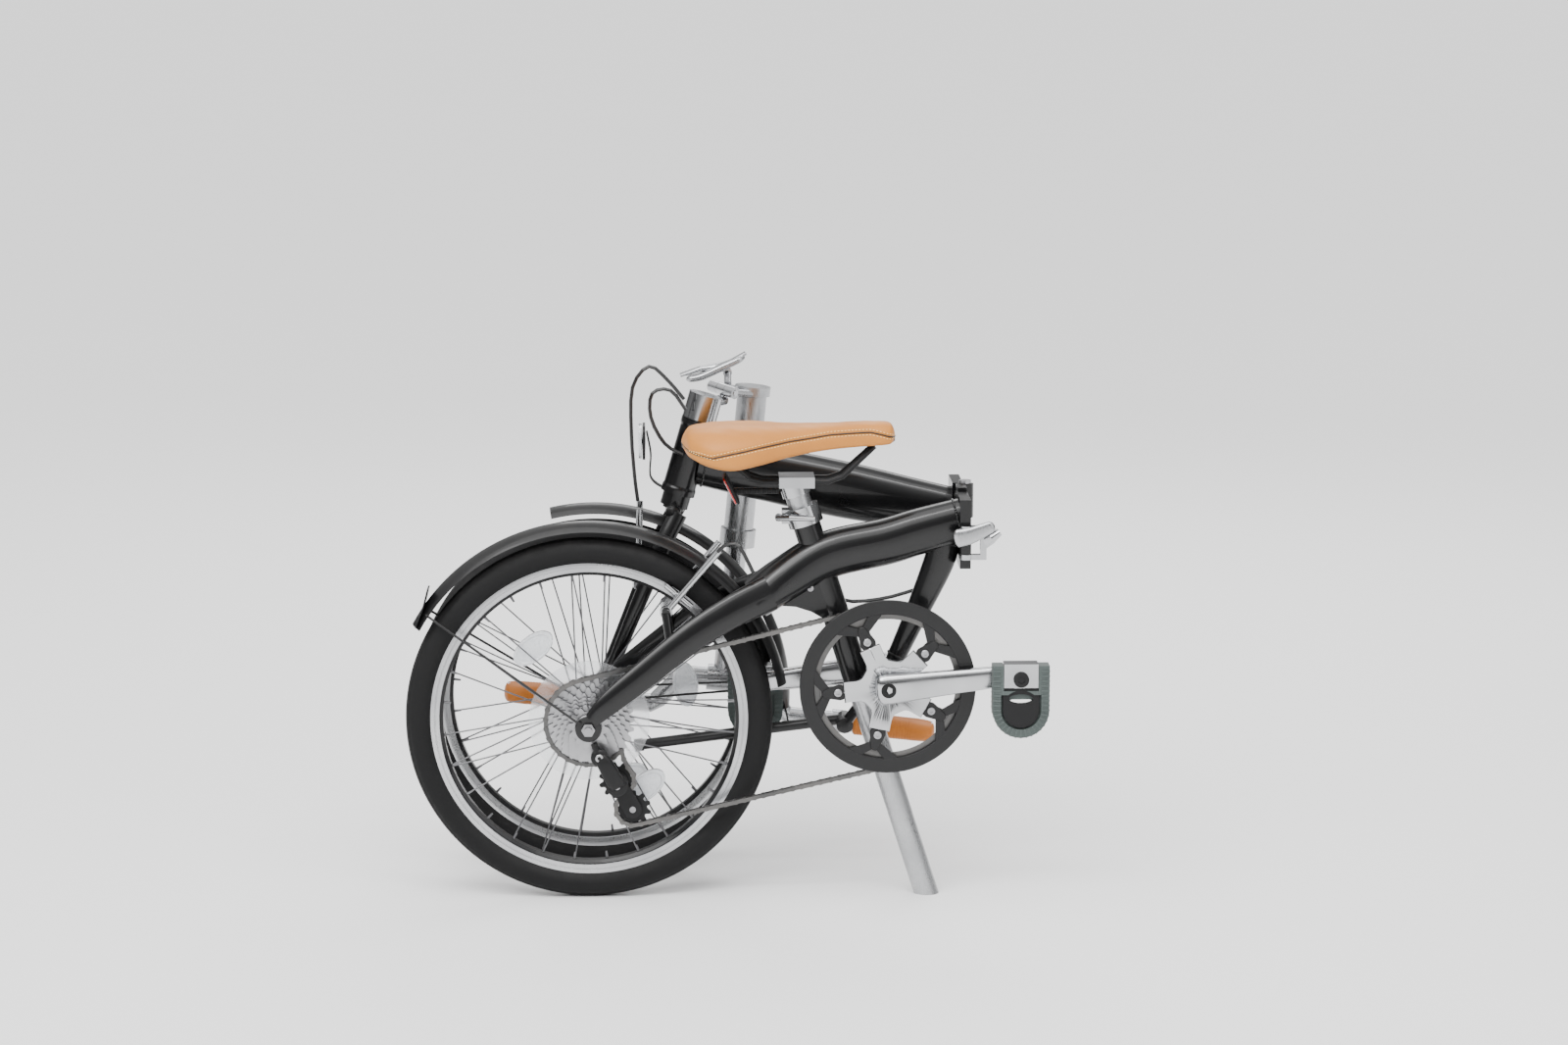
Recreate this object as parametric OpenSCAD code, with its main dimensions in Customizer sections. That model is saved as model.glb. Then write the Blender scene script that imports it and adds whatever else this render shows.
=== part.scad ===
// Folding bicycle, folded. Axes: +X towards the front of the rear half, +Y towards the folded front half, +Z up.
// The right (drive) side of the rear half faces -Y. The front half is turned about an upright hinge pin.

/* [Wheels] */
// Outside diameter of each tyre
tyre_d = 480; // [400:5:560]
// Width of each tyre
tyre_w = 37; // [32:1:42]
// Outside diameter of each rim
rim_d = 420; // [350:5:430]
// Width of each rim
rim_w = 24; // [20:1:28]
// Spokes in each wheel
spoke_count = 28; // [16:4:36]
// Distance between the two wheel planes when folded
fold_gap = 140; // [140:2:170]
// Diameter of both wheel axles
axle_d = 10; // [9:0.5:12]
// Width over the rear hub's locknuts
rear_hub_w = 130; // [126:1:135]
// Width over the front hub's locknuts
front_hub_w = 74; // [70:1:76]

/* [Frame] */
// Distance from the rear axle forward to the fold's hinge line
hinge_x = 496; // [480:1:620]
// Height of the main hinge pin's centre above the axle
hinge_rise = 247; // [230:1:280]
// Height of each hinge plate
hinge_h = 90; // [80:1:100]
// Diameter of the main hinge pin
hinge_pin_d = 10; // [6:0.5:12]
// Distance from the rear axle forward to the bottom bracket
bb_x = 388; // [384:1:392]
// Height of the bottom bracket above the axle
bb_rise = 50; // [45:1:55]
// Lean of the seatpost from upright
seat_lean = 17.8; // [16:0.1:20]
// Lean of the steering axis from upright
head_lean = 16.3; // [14:0.1:18]
// Running clearance on the radius of every pin and shaft
running = 0.05; // [0.02:0.01:0.09]
// Gap between pieces that move past each other
gap = 0.4; // [0.3:0.05:0.6]

/* [Seat] */
// Diameter of the seatpost
post_d = 31.8; // [27.2:0.1:33]
// Wall of the seatpost
post_wall = 2.5; // [1.5:0.1:4]
// Wall of the seat tube around the post
seat_tube_wall = 2; // [1.5:0.1:3]
// Length of the saddle
saddle_l = 277; // [250:1:290]
// Width of the saddle
saddle_w = 142; // [120:1:150]

/* [Drive] */
// Length of each crank
crank_l = 170; // [150:1:175]
// Teeth on the chainring
ring_teeth = 52; // [44:1:53]
// Teeth on the sprocket that carries the chain
sprocket_teeth = 28; // [24:1:32]
// Outside diameter of the chain guard
guard_d = 229; // [224:1:236]
// Turn of the right crank above level
crank_rise = 6.4; // [0:0.1:15]
// Diameter of the crank axle
spindle_d = 20; // [16:0.5:22]
// Diameter of each pedal axle
pedal_axle_d = 14; // [12:0.5:16]

/* [Steering] */
// Height of the handlepost's hinge above the axle
post_hinge_rise = 408; // [400:1:420]
// Lean of the folded handlepost from upright
fold_lean = 5.9; // [4:0.1:8]
// Length from the handlepost's hinge to the handlebar
post_l = 405; // [380:1:430]
// Diameter of the handlepost
handlepost_d = 40; // [36:1:42]
// Diameter of the telescoping mast
mast_d = 28; // [24:0.5:30]
// Length of the handlebar
bar_l = 590; // [540:5:600]
// Diameter of the handlebar
bar_d = 25.4; // [22:0.2:26]

/* [Hidden] */
$fn = 64;

// Shift that puts the origin under the middle of the folded bicycle
centre_x = 177;
centre_y = 73;

axle_z = tyre_d / 2;
tyre_r = tyre_d / 2;
rim_r = rim_d / 2;
rim_inner_r = rim_r - 19;
axle_r = axle_d / 2;
hinge_pin_r = hinge_pin_d / 2;
hinge_y = fold_gap / 2;
hinge_z = axle_z + hinge_rise;
bb = [bb_x, 0, axle_z + bb_rise];
seat_axis = [-sin(seat_lean), 0, cos(seat_lean)];
post_r = post_d / 2;
seat_tube_r = post_r + running + seat_tube_wall;
// The post stands behind the bottom bracket and clears its shell
shell_r = 20;
post_offset = seat_tube_r + shell_r - 2;
clamp_rise = 220;
clamp_at = bb + [-post_offset * cos(seat_lean) - clamp_rise * tan(seat_lean)
    - post_offset * sin(seat_lean) * tan(seat_lean), 0, clamp_rise];
pitch = 12.7;
// Half the height of the chain's side plates; the toothed wheels stop inside it
chain_half = 3.6;
ring_r = pitch / (2 * sin(180 / ring_teeth));
sprocket_r = pitch / (2 * sin(180 / sprocket_teeth));
pulley_r = pitch / (2 * sin(180 / 11));
ring_y = -46;
sprocket_y = -27;
crank_in_y = 57;
crank_out_y = 76;
crank_dir = [cos(crank_rise), 0, sin(crank_rise)];
right_pedal_at = bb + crank_l * crank_dir;
left_pedal_at = bb - crank_l * crank_dir;
spindle_r = spindle_d / 2;
pedal_axle_r = pedal_axle_d / 2;
fender_r = 262;
fender_w = 46;
guide_at = [36, sprocket_y, axle_z - 78];
tension_at = [56, sprocket_y, axle_z - 116];
stick_pivot = [336, 36, axle_z - 16];
stick_axis = [0, 0.97, 0.2431];
// Where the steering axis crosses the axle's height
steer_x = 36.5;

// Places
module place() {
    translate([-centre_x, -centre_y, 0]) children();
}
module at_rear() {
    translate([0, 0, axle_z]) children();
}
module at_front() {
    translate([5, fold_gap, axle_z]) children();
}
// The steering frame: its Z runs up the steering axis, its X points to the bicycle's rear
steer_at = [steer_x + post_hinge_rise * tan(head_lean), fold_gap, axle_z + post_hinge_rise];
module steering() {
    translate(steer_at) rotate([0, head_lean, 0]) children();
}
// The handlepost's hinge: a diagonal pin beside the steering axis
fold_turn = acos(-(1 + cos(head_lean - fold_lean)) / 2);
fold_axis = unit([sin(fold_lean) - sin(head_lean), sin(head_lean - fold_lean), cos(fold_lean) - cos(head_lean)]);
fold_at = steer_at + [23, 40, 0];
module folded() {
    turned() steering() children();
}

// A round bar from one point to another
module bar(a, b, r, fn = 48) {
    d = b - a;
    translate(a) rotate([0, acos(d[2] / norm(d)), atan2(d[1], d[0])]) cylinder(h = norm(d), r = r, $fn = fn);
}
// A cylinder about the Y direction between two side distances
module across(at, r, y0, y1, fn = 48) {
    translate([at[0], y0, at[2]]) rotate([-90, 0, 0]) cylinder(h = y1 - y0, r = r, $fn = fn);
}

// A tube swept along points: an ellipse at each point, square to the path
function unit(v) = v / norm(v);
function path_dir(p, i, closed) = let (n = len(p))
    closed ? unit(p[(i + 1) % n] - p[(i + n - 1) % n]) : unit(p[min(i + 1, n - 1)] - p[max(i - 1, 0)]);
function ring(p, i, w, h, ref, sides, closed, shift) = let (
    t = path_dir(p, i, closed), s = unit(ref - (ref * t) * t), u = cross(s, t),
    flat = sides == 4 ? 45 : 0)
    [for (k = [0:sides - 1]) let (a = flat + 360 * k / sides, g = sides == 4 ? sqrt(2) : 1)
        p[i] + shift * s + g * w * cos(a) * s + g * h * sin(a) * u];
module sweep(p, w, h, ref = [0, 1, 0], sides = 24, closed = false, shift = 0) {
    n = len(p);
    points = [for (i = [0:n - 1]) each ring(p, i, is_list(w) ? w[i] : w, is_list(h) ? h[i] : h,
        ref, sides, closed, shift)];
    last = closed ? n - 1 : n - 2;
    walls = [for (i = [0:last], k = [0:sides - 1]) let (j = (i + 1) % n, m = (k + 1) % sides)
        each [[i * sides + k, i * sides + m, j * sides + m], [i * sides + k, j * sides + m, j * sides + k]]];
    ends = closed ? [] : [[for (k = [sides - 1:-1:0]) k], [for (k = [0:sides - 1]) (n - 1) * sides + k]];
    polyhedron(points, concat(walls, ends), convexity = 6);
}
// A smooth route through chosen points, with in-between points on a curve
function blend4(a, b, c, d, t) = 0.5 * ((2 * b) + (c - a) * t + (2 * a - 5 * b + 4 * c - d) * t * t
    + (3 * b - a - 3 * c + d) * t * t * t);
function smooth(p, steps) = let (n = len(p)) concat([for (i = [0:n - 2], s = [0:steps - 1])
    blend4(p[max(i - 1, 0)], p[i], p[i + 1], p[min(i + 2, n - 1)], s / steps)], [p[n - 1]]);

// ---- Wheels ----
module tyre() {
    carcass_r = tyre_w / 2;
    rotate([90, 0, 0]) rotate_extrude($fn = 120) difference() {
        intersection() {
            translate([tyre_r - carcass_r, 0]) circle(r = carcass_r, $fn = 40);
            translate([rim_r, -tyre_w]) square([tyre_r, 2 * tyre_w]);
        }
        translate([tyre_r - carcass_r, 0]) circle(r = carcass_r - 3, $fn = 40);
    }
}
module rim() {
    w = rim_w / 2;
    rotate([90, 0, 0]) rotate_extrude($fn = 120) polygon([[rim_inner_r, -6], [rim_inner_r, 6],
        [rim_inner_r + 6, w], [rim_r, w], [rim_r, w - 2.5], [rim_inner_r + 8, w - 2.5],
        [rim_inner_r + 8, 2.5 - w], [rim_r, 2.5 - w], [rim_r, -w], [rim_inner_r + 6, -w]]);
}
module spokes(flange_r, near_y, far_y) {
    side_count = spoke_count / 2;
    for (i = [0:side_count - 1], side = [0, 1]) {
        start = 360 * (i + side / 2) / side_count;
        lean = (i % 2 == 0 ? 1 : -1) * 32;
        y = side == 0 ? near_y : far_y;
        bar([(flange_r + 1.2) * cos(start), y, (flange_r + 1.2) * sin(start)],
            [(rim_inner_r - 0.3) * cos(start + lean), sign(y) * 3, (rim_inner_r - 0.3) * sin(start + lean)],
            1, 16);
    }
}
module hub(flange_r, near_y, far_y, shell, out) {
    rotate([-90, 0, 0]) difference() {
        union() {
            translate([0, 0, near_y - 1.5]) cylinder(h = far_y - near_y + 3, r = shell);
            for (y = [near_y, far_y]) translate([0, 0, y - 1.5]) cylinder(h = 3, r = flange_r);
            translate([0, 0, far_y]) cylinder(h = out - far_y, r = 9);
            translate([0, 0, -out]) cylinder(h = out + near_y, r = 9);
        }
        translate([0, 0, -200]) cylinder(h = 400, r = axle_r + running);
    }
}
module axle(w, out_near, out_far) {
    across([0, 0, 0], axle_r, -out_near, out_far);
    for (s = [-1, 1]) {
        edge = w / 2 + 5.2;
        end = s < 0 ? -edge - 7 : edge;
        translate([0, end, 0]) rotate([-90, 0, 0]) cylinder(h = 7, r = 9, $fn = 6);
    }
}
rear_near = -19;
rear_far = 32;
front_flange = 24;
module rear_tyre() color("#1c1c1d") place() at_rear() tyre();
module rear_rim() color("#c9cbce") place() at_rear() rim();
module rear_spokes() color("#6d6f72") place() at_rear() spokes(23, rear_near, rear_far);
module rear_hub() color("#b9bbbe") place() at_rear() hub(23, rear_near, rear_far, 14, rear_hub_w / 2 - gap);
module rear_axle() color("#8d8f92") place() at_rear() axle(rear_hub_w, rear_hub_w / 2 + 18, rear_hub_w / 2 + 18);
module front_tyre() color("#1c1c1d") place() at_front() tyre();
module front_rim() color("#c9cbce") place() at_front() rim();
module front_spokes() color("#6d6f72") place() at_front() spokes(19, -front_flange, front_flange);
module front_hub() color("#b9bbbe") place() at_front()
    hub(19, -front_flange, front_flange, 11, front_hub_w / 2 - gap);

// ---- Rear frame ----
beam_path = [for (q = [[488, 0, 260.5], [430, 0, 245], [387, 0, 232], [312, 0, 215], [255, 0, 183], [218, 0, 158]])
    q + [0, 0, axle_z]];
beam_w = [21, 22, 23, 25, 31, 42];
beam_h = [29, 30, 30.5, 31, 29, 26];
stay_x = [236, 190, 138, 74, 27, 4];
stay_side = [26, 40, 52, 62, 70, 72];
stay_rise = [170, 150, 120, 71, 34, 12];
beam_wall = 2.5;
module beam_shape(wall = 0) {
    sweep(beam_path, [for (v = beam_w) v - wall], [for (v = beam_h) v - wall]);
}
module seat_axis_cylinder(r, from, to) {
    bar(clamp_at + from * seat_axis, clamp_at + to * seat_axis, r, 64);
}
seat_tube_down = -250;
module rear_beam() color("#17181a") place() difference() {
    beam_shape();
    sweep([for (i = [0:5]) beam_path[i] + (i == 0 ? [1, 0, 0] : i == 5 ? [-1, 0, 0] : [0, 0, 0])],
        [for (v = beam_w) v - beam_wall], [for (v = beam_h) v - beam_wall]);
    seat_axis_cylinder(seat_tube_r, -300, 20);
    past_plate();
}
module past_plate() {
    translate([hinge_x - gap / 2 - plate_t, -100, axle_z]) cube([60, 400, 500]);
}
module stay(side) {
    drop_r = 17;
    path = [for (i = [0:5]) [stay_x[i], side * stay_side[i], axle_z + stay_rise[i]]];
    inner = rear_hub_w / 2;
    difference() {
        union() {
            sweep(path, [10, 9, 8, 7, 5, 4], [24, 22, 20, 18, 15, 10], [0, 1, 0], 20);
            across([0, 0, axle_z], drop_r, side > 0 ? inner : -inner - 5, side > 0 ? inner + 5 : -inner, 64);
            bar([108, side * 54, axle_z + 98], rear_pivot + [0, side * 43, 0], 6);
            across(rear_pivot, 6, side > 0 ? 35.4 : -46, side > 0 ? 46 : -35.4);
        }
        beam_shape();
        across([0, 0, axle_z], axle_r + running, -100, 100, 64);
        across([0, 0, axle_z], drop_r + 3, side > 0 ? inner + 5 : -120, side > 0 ? 120 : -inner - 5, 64);
        across([0, 0, axle_z], 60, -inner, inner, 64);
    }
}
module right_stay() color("#17181a") place() stay(-1);
module left_stay() color("#17181a") place() stay(1);
module seat_tube() color("#17181a") place() difference() {
    seat_axis_cylinder(seat_tube_r, seat_tube_down, -14);
    seat_axis_cylinder(post_r + running, seat_tube_down - 5, 0);
}
module seat_collar() color("#c4c6c8") place() difference() {
    union() {
        seat_axis_cylinder(seat_tube_r + 5, -14, 10);
        translate([-seat_tube_r - 10, -11, 0] + clamp_at + [0, 0, -12]) cube([16, 22, 18]);
    }
    seat_axis_cylinder(post_r + running, -40, 40);
}
module seat_clamp_lever() color("#c4c6c8") place() {
    at = clamp_at + [-seat_tube_r - 14, 0, -3];
    across(at, 5, -16, -11.4);
    sweep([at + [-2, -20, 0], at + [14, -31, 2], at + [46, -31, 1]], [5, 5, 5], [4, 4, 3], [0, 1, 0], 16);
    across(at, 4, -22, -15);
}
module bottom_bracket_shell() color("#17181a") place() difference() {
    union() {
        across(bb, shell_r, -34, 34, 64);
        bar(bb + [-14, 22, -14], stick_pivot - 8 * stick_axis, 7);
        bar(stick_pivot - 13 * stick_axis, stick_pivot, 11);
    }
    seat_axis_cylinder(seat_tube_r, -300, 20);
    across(bb, spindle_r + running, -60, 60, 64);
    bar(stick_pivot - 30 * stick_axis, stick_pivot + 30 * stick_axis, 5 + running);
}
module hinge_strut() color("#17181a") place() difference() {
    sweep([[466, 0, axle_z + 238], [455, 0, axle_z + 200], [425, 0, axle_z + 130], bb + [6, 0, 12]],
        [13, 13, 12, 11], [21, 20, 15, 12], [0, 1, 0], 20);
    beam_shape();
    across(bb, shell_r, -60, 60, 64);
    past_plate();
}
// Hinge: both plates meet on the line of the pin. The knuckles sit high, above the pedals' circle.
plate_t = 14;
knuckle_r = 11;
knuckle_z = [5, 20, 35, 50];
module hinge_half(side, knuckles) {
    face = hinge_x - gap / 2;
    difference() {
        union() {
            translate([face - plate_t, side > 0 ? hinge_y + 34 : -36, hinge_z - hinge_h / 2])
                cube([plate_t, 72, hinge_h]);
            for (k = knuckles) {
                z0 = hinge_z + knuckle_z[k] + gap / 2;
                h = knuckle_z[k + 1] - knuckle_z[k] - gap;
                translate([hinge_x, hinge_y, z0]) cylinder(h = h, r = knuckle_r);
                translate([face - 12, side > 0 ? hinge_y : 35, z0]) cube([12, 35, h]);
            }
        }
        translate([hinge_x, hinge_y, hinge_z - 60]) cylinder(h = 140, r = hinge_pin_r + running);
    }
}
module rear_hinge_plate() color("#17181a") place() difference() {
    union() {
        hinge_half(-1, [0, 2]);
        translate([hinge_x - 14, -50, hinge_z - 24]) cube([13, 16, 30]);
    }
    translate([hinge_x - 7, -44, hinge_z - 40]) cylinder(h = 80, r = 3 + running);
}
module main_hinge_pin() color("#8d8f92") place() translate([hinge_x, hinge_y, hinge_z + 1]) {
    cylinder(h = 52, r = hinge_pin_r);
    translate([0, 0, 49 + gap]) cylinder(h = 4, r = hinge_pin_r + 3);
}
module frame_latch_lever() color("#c4c6c8") place() {
    at = [hinge_x - 7, -44, hinge_z];
    translate(at + [0, 0, -31]) cylinder(h = 44, r = 3);
    for (z = [-31, 6.4]) translate(at + [0, 0, z]) {
        cylinder(h = 6.6, r = 8);
        translate([0, -5, 0]) cube([26, 10, 6.6]);
    }
    translate(at + [18, -5, -31]) cube([8, 10, 44]);
    sweep([at + [22, 0, -8], at + [32, 0, -3], at + [43, 0, 5]], [5, 8, 7], [10, 8, 5], [0, 1, 0], 20);
}
module kickstand_leg() color("#1c1c1d") place() {
    foot = [70, 44, axle_z - 47];
    bar(stick_pivot - 13 * stick_axis, stick_pivot + 10 * stick_axis, 5);
    bar(stick_pivot + gap * stick_axis, stick_pivot + 15 * stick_axis, 9);
    bar(stick_pivot + 8 * stick_axis, foot, 7);
    bar(foot, foot + [-12, 0, -1.4], 8.5);
}

// ---- Fenders ----
module fender_arc(from, to) {
    crown = 12;
    bend = (pow(fender_w / 2, 2) + crown * crown) / (2 * crown);
    rotate([90, 0, 0]) rotate([0, 0, from]) rotate_extrude(angle = to - from, $fn = 120) intersection() {
        difference() {
            translate([fender_r - bend, 0]) circle(r = bend, $fn = 48);
            translate([fender_r - bend, 0]) circle(r = bend - 1.8, $fn = 48);
        }
        translate([fender_r - crown, -fender_w]) square([40, 2 * fender_w]);
    }
}
module fender_wire(angle, half_hub, side) {
    out = half_hub + 7.2;
    start = [14 * cos(angle), side * out, 14 * sin(angle)];
    end = [(fender_r - 8) * cos(angle), side * (fender_w / 2 - 3), (fender_r - 8) * sin(angle)];
    bar(start, end, 1.6, 24);
    across(start, 3, side > 0 ? out - 2 : -out - 2, side > 0 ? out + 2 : 2 - out);
}
module rear_fender() color("#17181a") place() at_rear() {
    fender_arc(10, 151);
    for (side = [-1, 1]) fender_wire(146, rear_hub_w / 2, side);
    difference() {
        bar([206, 0, 161], [231, 0, 161], 4);
        rotate([90, 0, 0]) translate([0, 0, -20]) cylinder(h = 40, r = fender_r - 1);
    }
}
module front_fender() color("#17181a") place() at_front() {
    fender_arc(-4, 103);
    for (side = [-1, 1]) fender_wire(3, front_hub_w / 2, side);
}

// ---- Drive ----
module disc(at, y, t, r, hole) {
    difference() {
        across(at, r, y - t / 2, y + t / 2, 96);
        across(at, hole, y - t, y + t, 64);
    }
}
module cassette() color("#b5b7b9") place() at_rear() difference() {
    union() {
        teeth = [sprocket_teeth, 25, 22, 19, 17, 15, 13, 12];
        for (i = [0:7]) across([0, 0, 0], pitch / (2 * sin(180 / teeth[i])) + (i == 0 ? -chain_half : -2),
            sprocket_y - 4.6 * i - 0.9, sprocket_y - 4.6 * i + 0.9, 96);
        across([0, 0, 0], 17, sprocket_y - 34, sprocket_y + 3);
    }
    across([0, 0, 0], 9 + running, -90, 0);
}
module arms_to_ring(at, y0, y1, r_in, r_out, w) {
    for (i = [0:4]) translate(at) rotate([0, -(crank_rise + 36 + 72 * i), 0])
        translate([r_in, y0, -w / 2]) cube([r_out - r_in, y1 - y0, w]);
}
bolt_circle_r = 65;
module chainring() color("#3a3b3d") place() difference() {
    union() {
        disc(bb, ring_y, 2, ring_r - chain_half, ring_r - 17);
        arms_to_ring(bb, ring_y - 0.8, ring_y + 0.8, bolt_circle_r - 7, ring_r - 12, 15);
    }
    bolt_holes(ring_y - 5, ring_y + 5);
}
module bolt_holes(y0, y1) {
    for (i = [0:4]) translate(bb) rotate([0, -(crank_rise + 36 + 72 * i), 0])
        across([bolt_circle_r, 0, 0], 4, y0, y1, 32);
}
module chain_guard() color("#202123") place() difference() {
    union() {
        disc(bb, -51.2, 2, guard_d / 2, guard_d / 2 - 20);
        arms_to_ring(bb, -52, -50.4, bolt_circle_r - 7, guard_d / 2 - 14, 14);
    }
    bolt_holes(-60, -40);
}
// A tapered arm from the crank axle to the pedal
module crank_arm(side, at) {
    y0 = side > 0 ? crank_in_y : -crank_out_y;
    y1 = side > 0 ? crank_out_y : -crank_in_y;
    hull() {
        across(bb, 20, y0, y1, 32);
        across(at, 13, y0, y1, 32);
    }
}
module crank_bores(at) {
    across(at, pedal_axle_r + running, -120, 120, 64);
    across(bb, spindle_r, 4 - crank_out_y, crank_out_y - 4, 64);
}
module right_crank() color("#c9cbce") place() difference() {
    union() {
        crank_arm(-1, right_pedal_at);
        across(bb, 27, -58, -52.4);
        arms_to_ring(bb, -57.6, -53, 18, bolt_circle_r + 8, 17);
        for (i = [0:4]) translate(bb) rotate([0, -(crank_rise + 36 + 72 * i), 0])
            across([bolt_circle_r, 0, 0], 3.9, -55, -44.6, 32);
    }
    crank_bores(right_pedal_at);
}
module left_crank() color("#c9cbce") place() difference() {
    crank_arm(1, left_pedal_at);
    crank_bores(left_pedal_at);
}
module crank_axle() color("#8d8f92") place() difference() {
    across(bb, spindle_r, 4 - crank_out_y, crank_out_y - 4, 64);
    across(bb, spindle_r - 4, -100, 100, 64);
}
// A folding pedal: a bearing block at the crank's end and a platform that hangs from its hinge when folded
pedal_fold_y = 90;
pedal_fold_rise = 12;
module pedal_block(at, side) {
    axis_z = at[2] + pedal_fold_rise;
    across(at, pedal_axle_r, side > 0 ? crank_in_y + 1 : -101, side > 0 ? 101 : -crank_in_y - 1, 64);
    difference() {
        translate([at[0] - 22, side > 0 ? 77 : -101, at[2] - 11]) cube([44, 24, 31]);
        translate([at[0] - 40, side * pedal_fold_y, axis_z]) rotate([0, 90, 0])
            cylinder(h = 80, r = 3 + running);
    }
    across(at, 9, side > 0 ? 100 : -103, side > 0 ? 103 : -100);
}
module pedal(at, side) {
    axis_z = at[2] + pedal_fold_rise;
    y0 = side > 0 ? 78 : -102;
    translate([at[0], y0, at[2]]) rotate([90, 0, 0]) mirror([0, 0, 1]) difference() {
        union() {
            translate([0, -40]) cylinder(h = 24, r = 36.5);
            translate([-36.5, -40, 0]) cube([73, 58, 24]);
        }
        translate([-22.6, -15, -1]) cube([45.2, 60, 26]);
        for (z = [-1, 18]) translate([0, 0, z]) {
            translate([0, -40]) cylinder(h = 7, r = 26);
            translate([-26, -40, 0]) cube([52, 20, 7]);
        }
        translate([-10, -34, -1]) cylinder(h = 30, r = 7);
        translate([10, -34, -1]) cylinder(h = 30, r = 7);
        translate([-10, -41, -1]) cube([20, 14, 30]);
    }
    translate([at[0] - 34, side * pedal_fold_y, axis_z]) rotate([0, 90, 0]) cylinder(h = 68, r = 3);
}
module right_pedal_block() color("#b9bbbe") place() pedal_block(right_pedal_at, -1);
module left_pedal_block() color("#b9bbbe") place() pedal_block(left_pedal_at, 1);
module right_pedal() color("#4a4c4e") place() pedal(right_pedal_at, -1);
module left_pedal() color("#4a4c4e") place() pedal(left_pedal_at, 1);

// The chain is a pair of side plates along its whole loop: straight runs between the wheels that carry it
function turn(c, r, a0, a1, n) = [for (i = [0:n]) let (a = a0 + (a1 - a0) * i / n) c + r * [cos(a), 0, sin(a)]];
chain_ring_at = [bb[0], ring_y, bb[2]];
chain_rear_at = [0, sprocket_y, axle_z];
run_d = norm(bb - [0, 0, axle_z]);
top_a = 90 + atan(bb_rise / bb_x) + asin((ring_r - sprocket_r) / run_d);
chain_path = concat(
    turn(chain_ring_at, ring_r, top_a, -78, 18),
    turn(tension_at, pulley_r, -82, -225, 6),
    turn(guide_at, pulley_r, -52, 62, 5),
    turn(chain_rear_at, sprocket_r, -42, top_a - 360, 13));
module chain() color("#2b2b2c") place() for (side = [-1, 1])
    sweep(chain_path, 0.5, chain_half, [0, 1, 0], 4, true, side * 2.2);
module pulley(at) {
    disc(at, at[1], 2.2, pulley_r - chain_half, 3 + running);
}
module guide_pulley() color("#202123") place() pulley(guide_at);
module tension_pulley() color("#202123") place() pulley(tension_at);
module derailleur() color("#202123") place() {
    for (y = [sprocket_y - 6.5, sprocket_y + 4.5]) hull() {
        across(guide_at, 9, y, y + 1.6, 32);
        across(tension_at, 9, y, y + 1.6, 32);
    }
    for (at = [guide_at, tension_at]) across(at, 3, sprocket_y - 6, sprocket_y + 5);
    across(guide_at, 8, -58, sprocket_y - 5);
    bar([38, -54, axle_z - 80], [14, -66, axle_z - 38], 7);
    across([14, 0, axle_z - 38], 9, -70, -61.4);
    bar([14, -67.5, axle_z - 38], [7, -67.5, axle_z - 19.5], 2.4);
}

// ---- Seat ----
post_bottom = -(clamp_at[2] - post_r * sin(seat_lean)) / cos(seat_lean);
post_top = 38;
// the post's lower end is cut level, so it stands flat on the floor
module seatpost() color("#d4d6d8") place() difference() {
    intersection() {
        seat_axis_cylinder(post_r, post_bottom - 15, post_top);
        translate([0, -100, 0]) cube([600, 200, 800]);
    }
    seat_axis_cylinder(post_r - post_wall, post_bottom - 25, post_top - 10);
}
seat_top = clamp_at + post_top * seat_axis;
module saddle_clamp() color("#c4c6c8") place() difference() {
    union() {
        translate(seat_top + [-20, -24, 0.3]) cube([46, 48, 14]);
        seat_axis_cylinder(post_r + 3, post_top - 12, post_top + 8);
    }
    seat_axis_cylinder(post_r, post_top - 60, post_top);
    for (s = [-1, 1]) bar(seat_top + [-60, s * 18, 8], seat_top + [60, s * 18, 8], 3.5);
}
module saddle_rails() color("#26272a") place() for (s = [-1, 1])
    sweep([seat_top + [-76, s * 22, 31], seat_top + [-58, s * 20, 13], seat_top + [-40, s * 18, 8],
        seat_top + [44, s * 18, 8], seat_top + [62, s * 16, 14], seat_top + [104, s * 10, 53]],
        3.4, 3.4, [0, 1, 0], 16);
module saddle() color("#dc9f50") place() {
    rear = seat_top[0] - 146;
    k = saddle_l / 277;
    half = saddle_w / 142;
    at = [0, 12, 35, 65, 100, 140, 185, 230, 262, 274, 277];
    side = [20, 46, 66, 71, 64, 47, 33, 27, 24, 16, 6];
    low = [54, 42, 33, 32, 38, 44, 50, 54, 56, 58, 60];
    high = [70, 78, 82, 84, 84, 82, 82, 84, 84, 80, 74];
    sweep([for (i = [0:10]) [rear + at[i] * k, 0, seat_top[2] + (low[i] + high[i]) / 2]],
        [for (v = side) v * half], [for (i = [0:10]) (high[i] - low[i]) / 2], [0, 1, 0], 28);
}
module tail_reflector() color("#b3231f") place() {
    translate(seat_top + [-76, -22, -24]) rotate([0, -26, 0]) cube([7, 44, 42]);
    translate(seat_top + [-82, -6, -10]) cube([62, 12, 8]);
}

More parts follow.
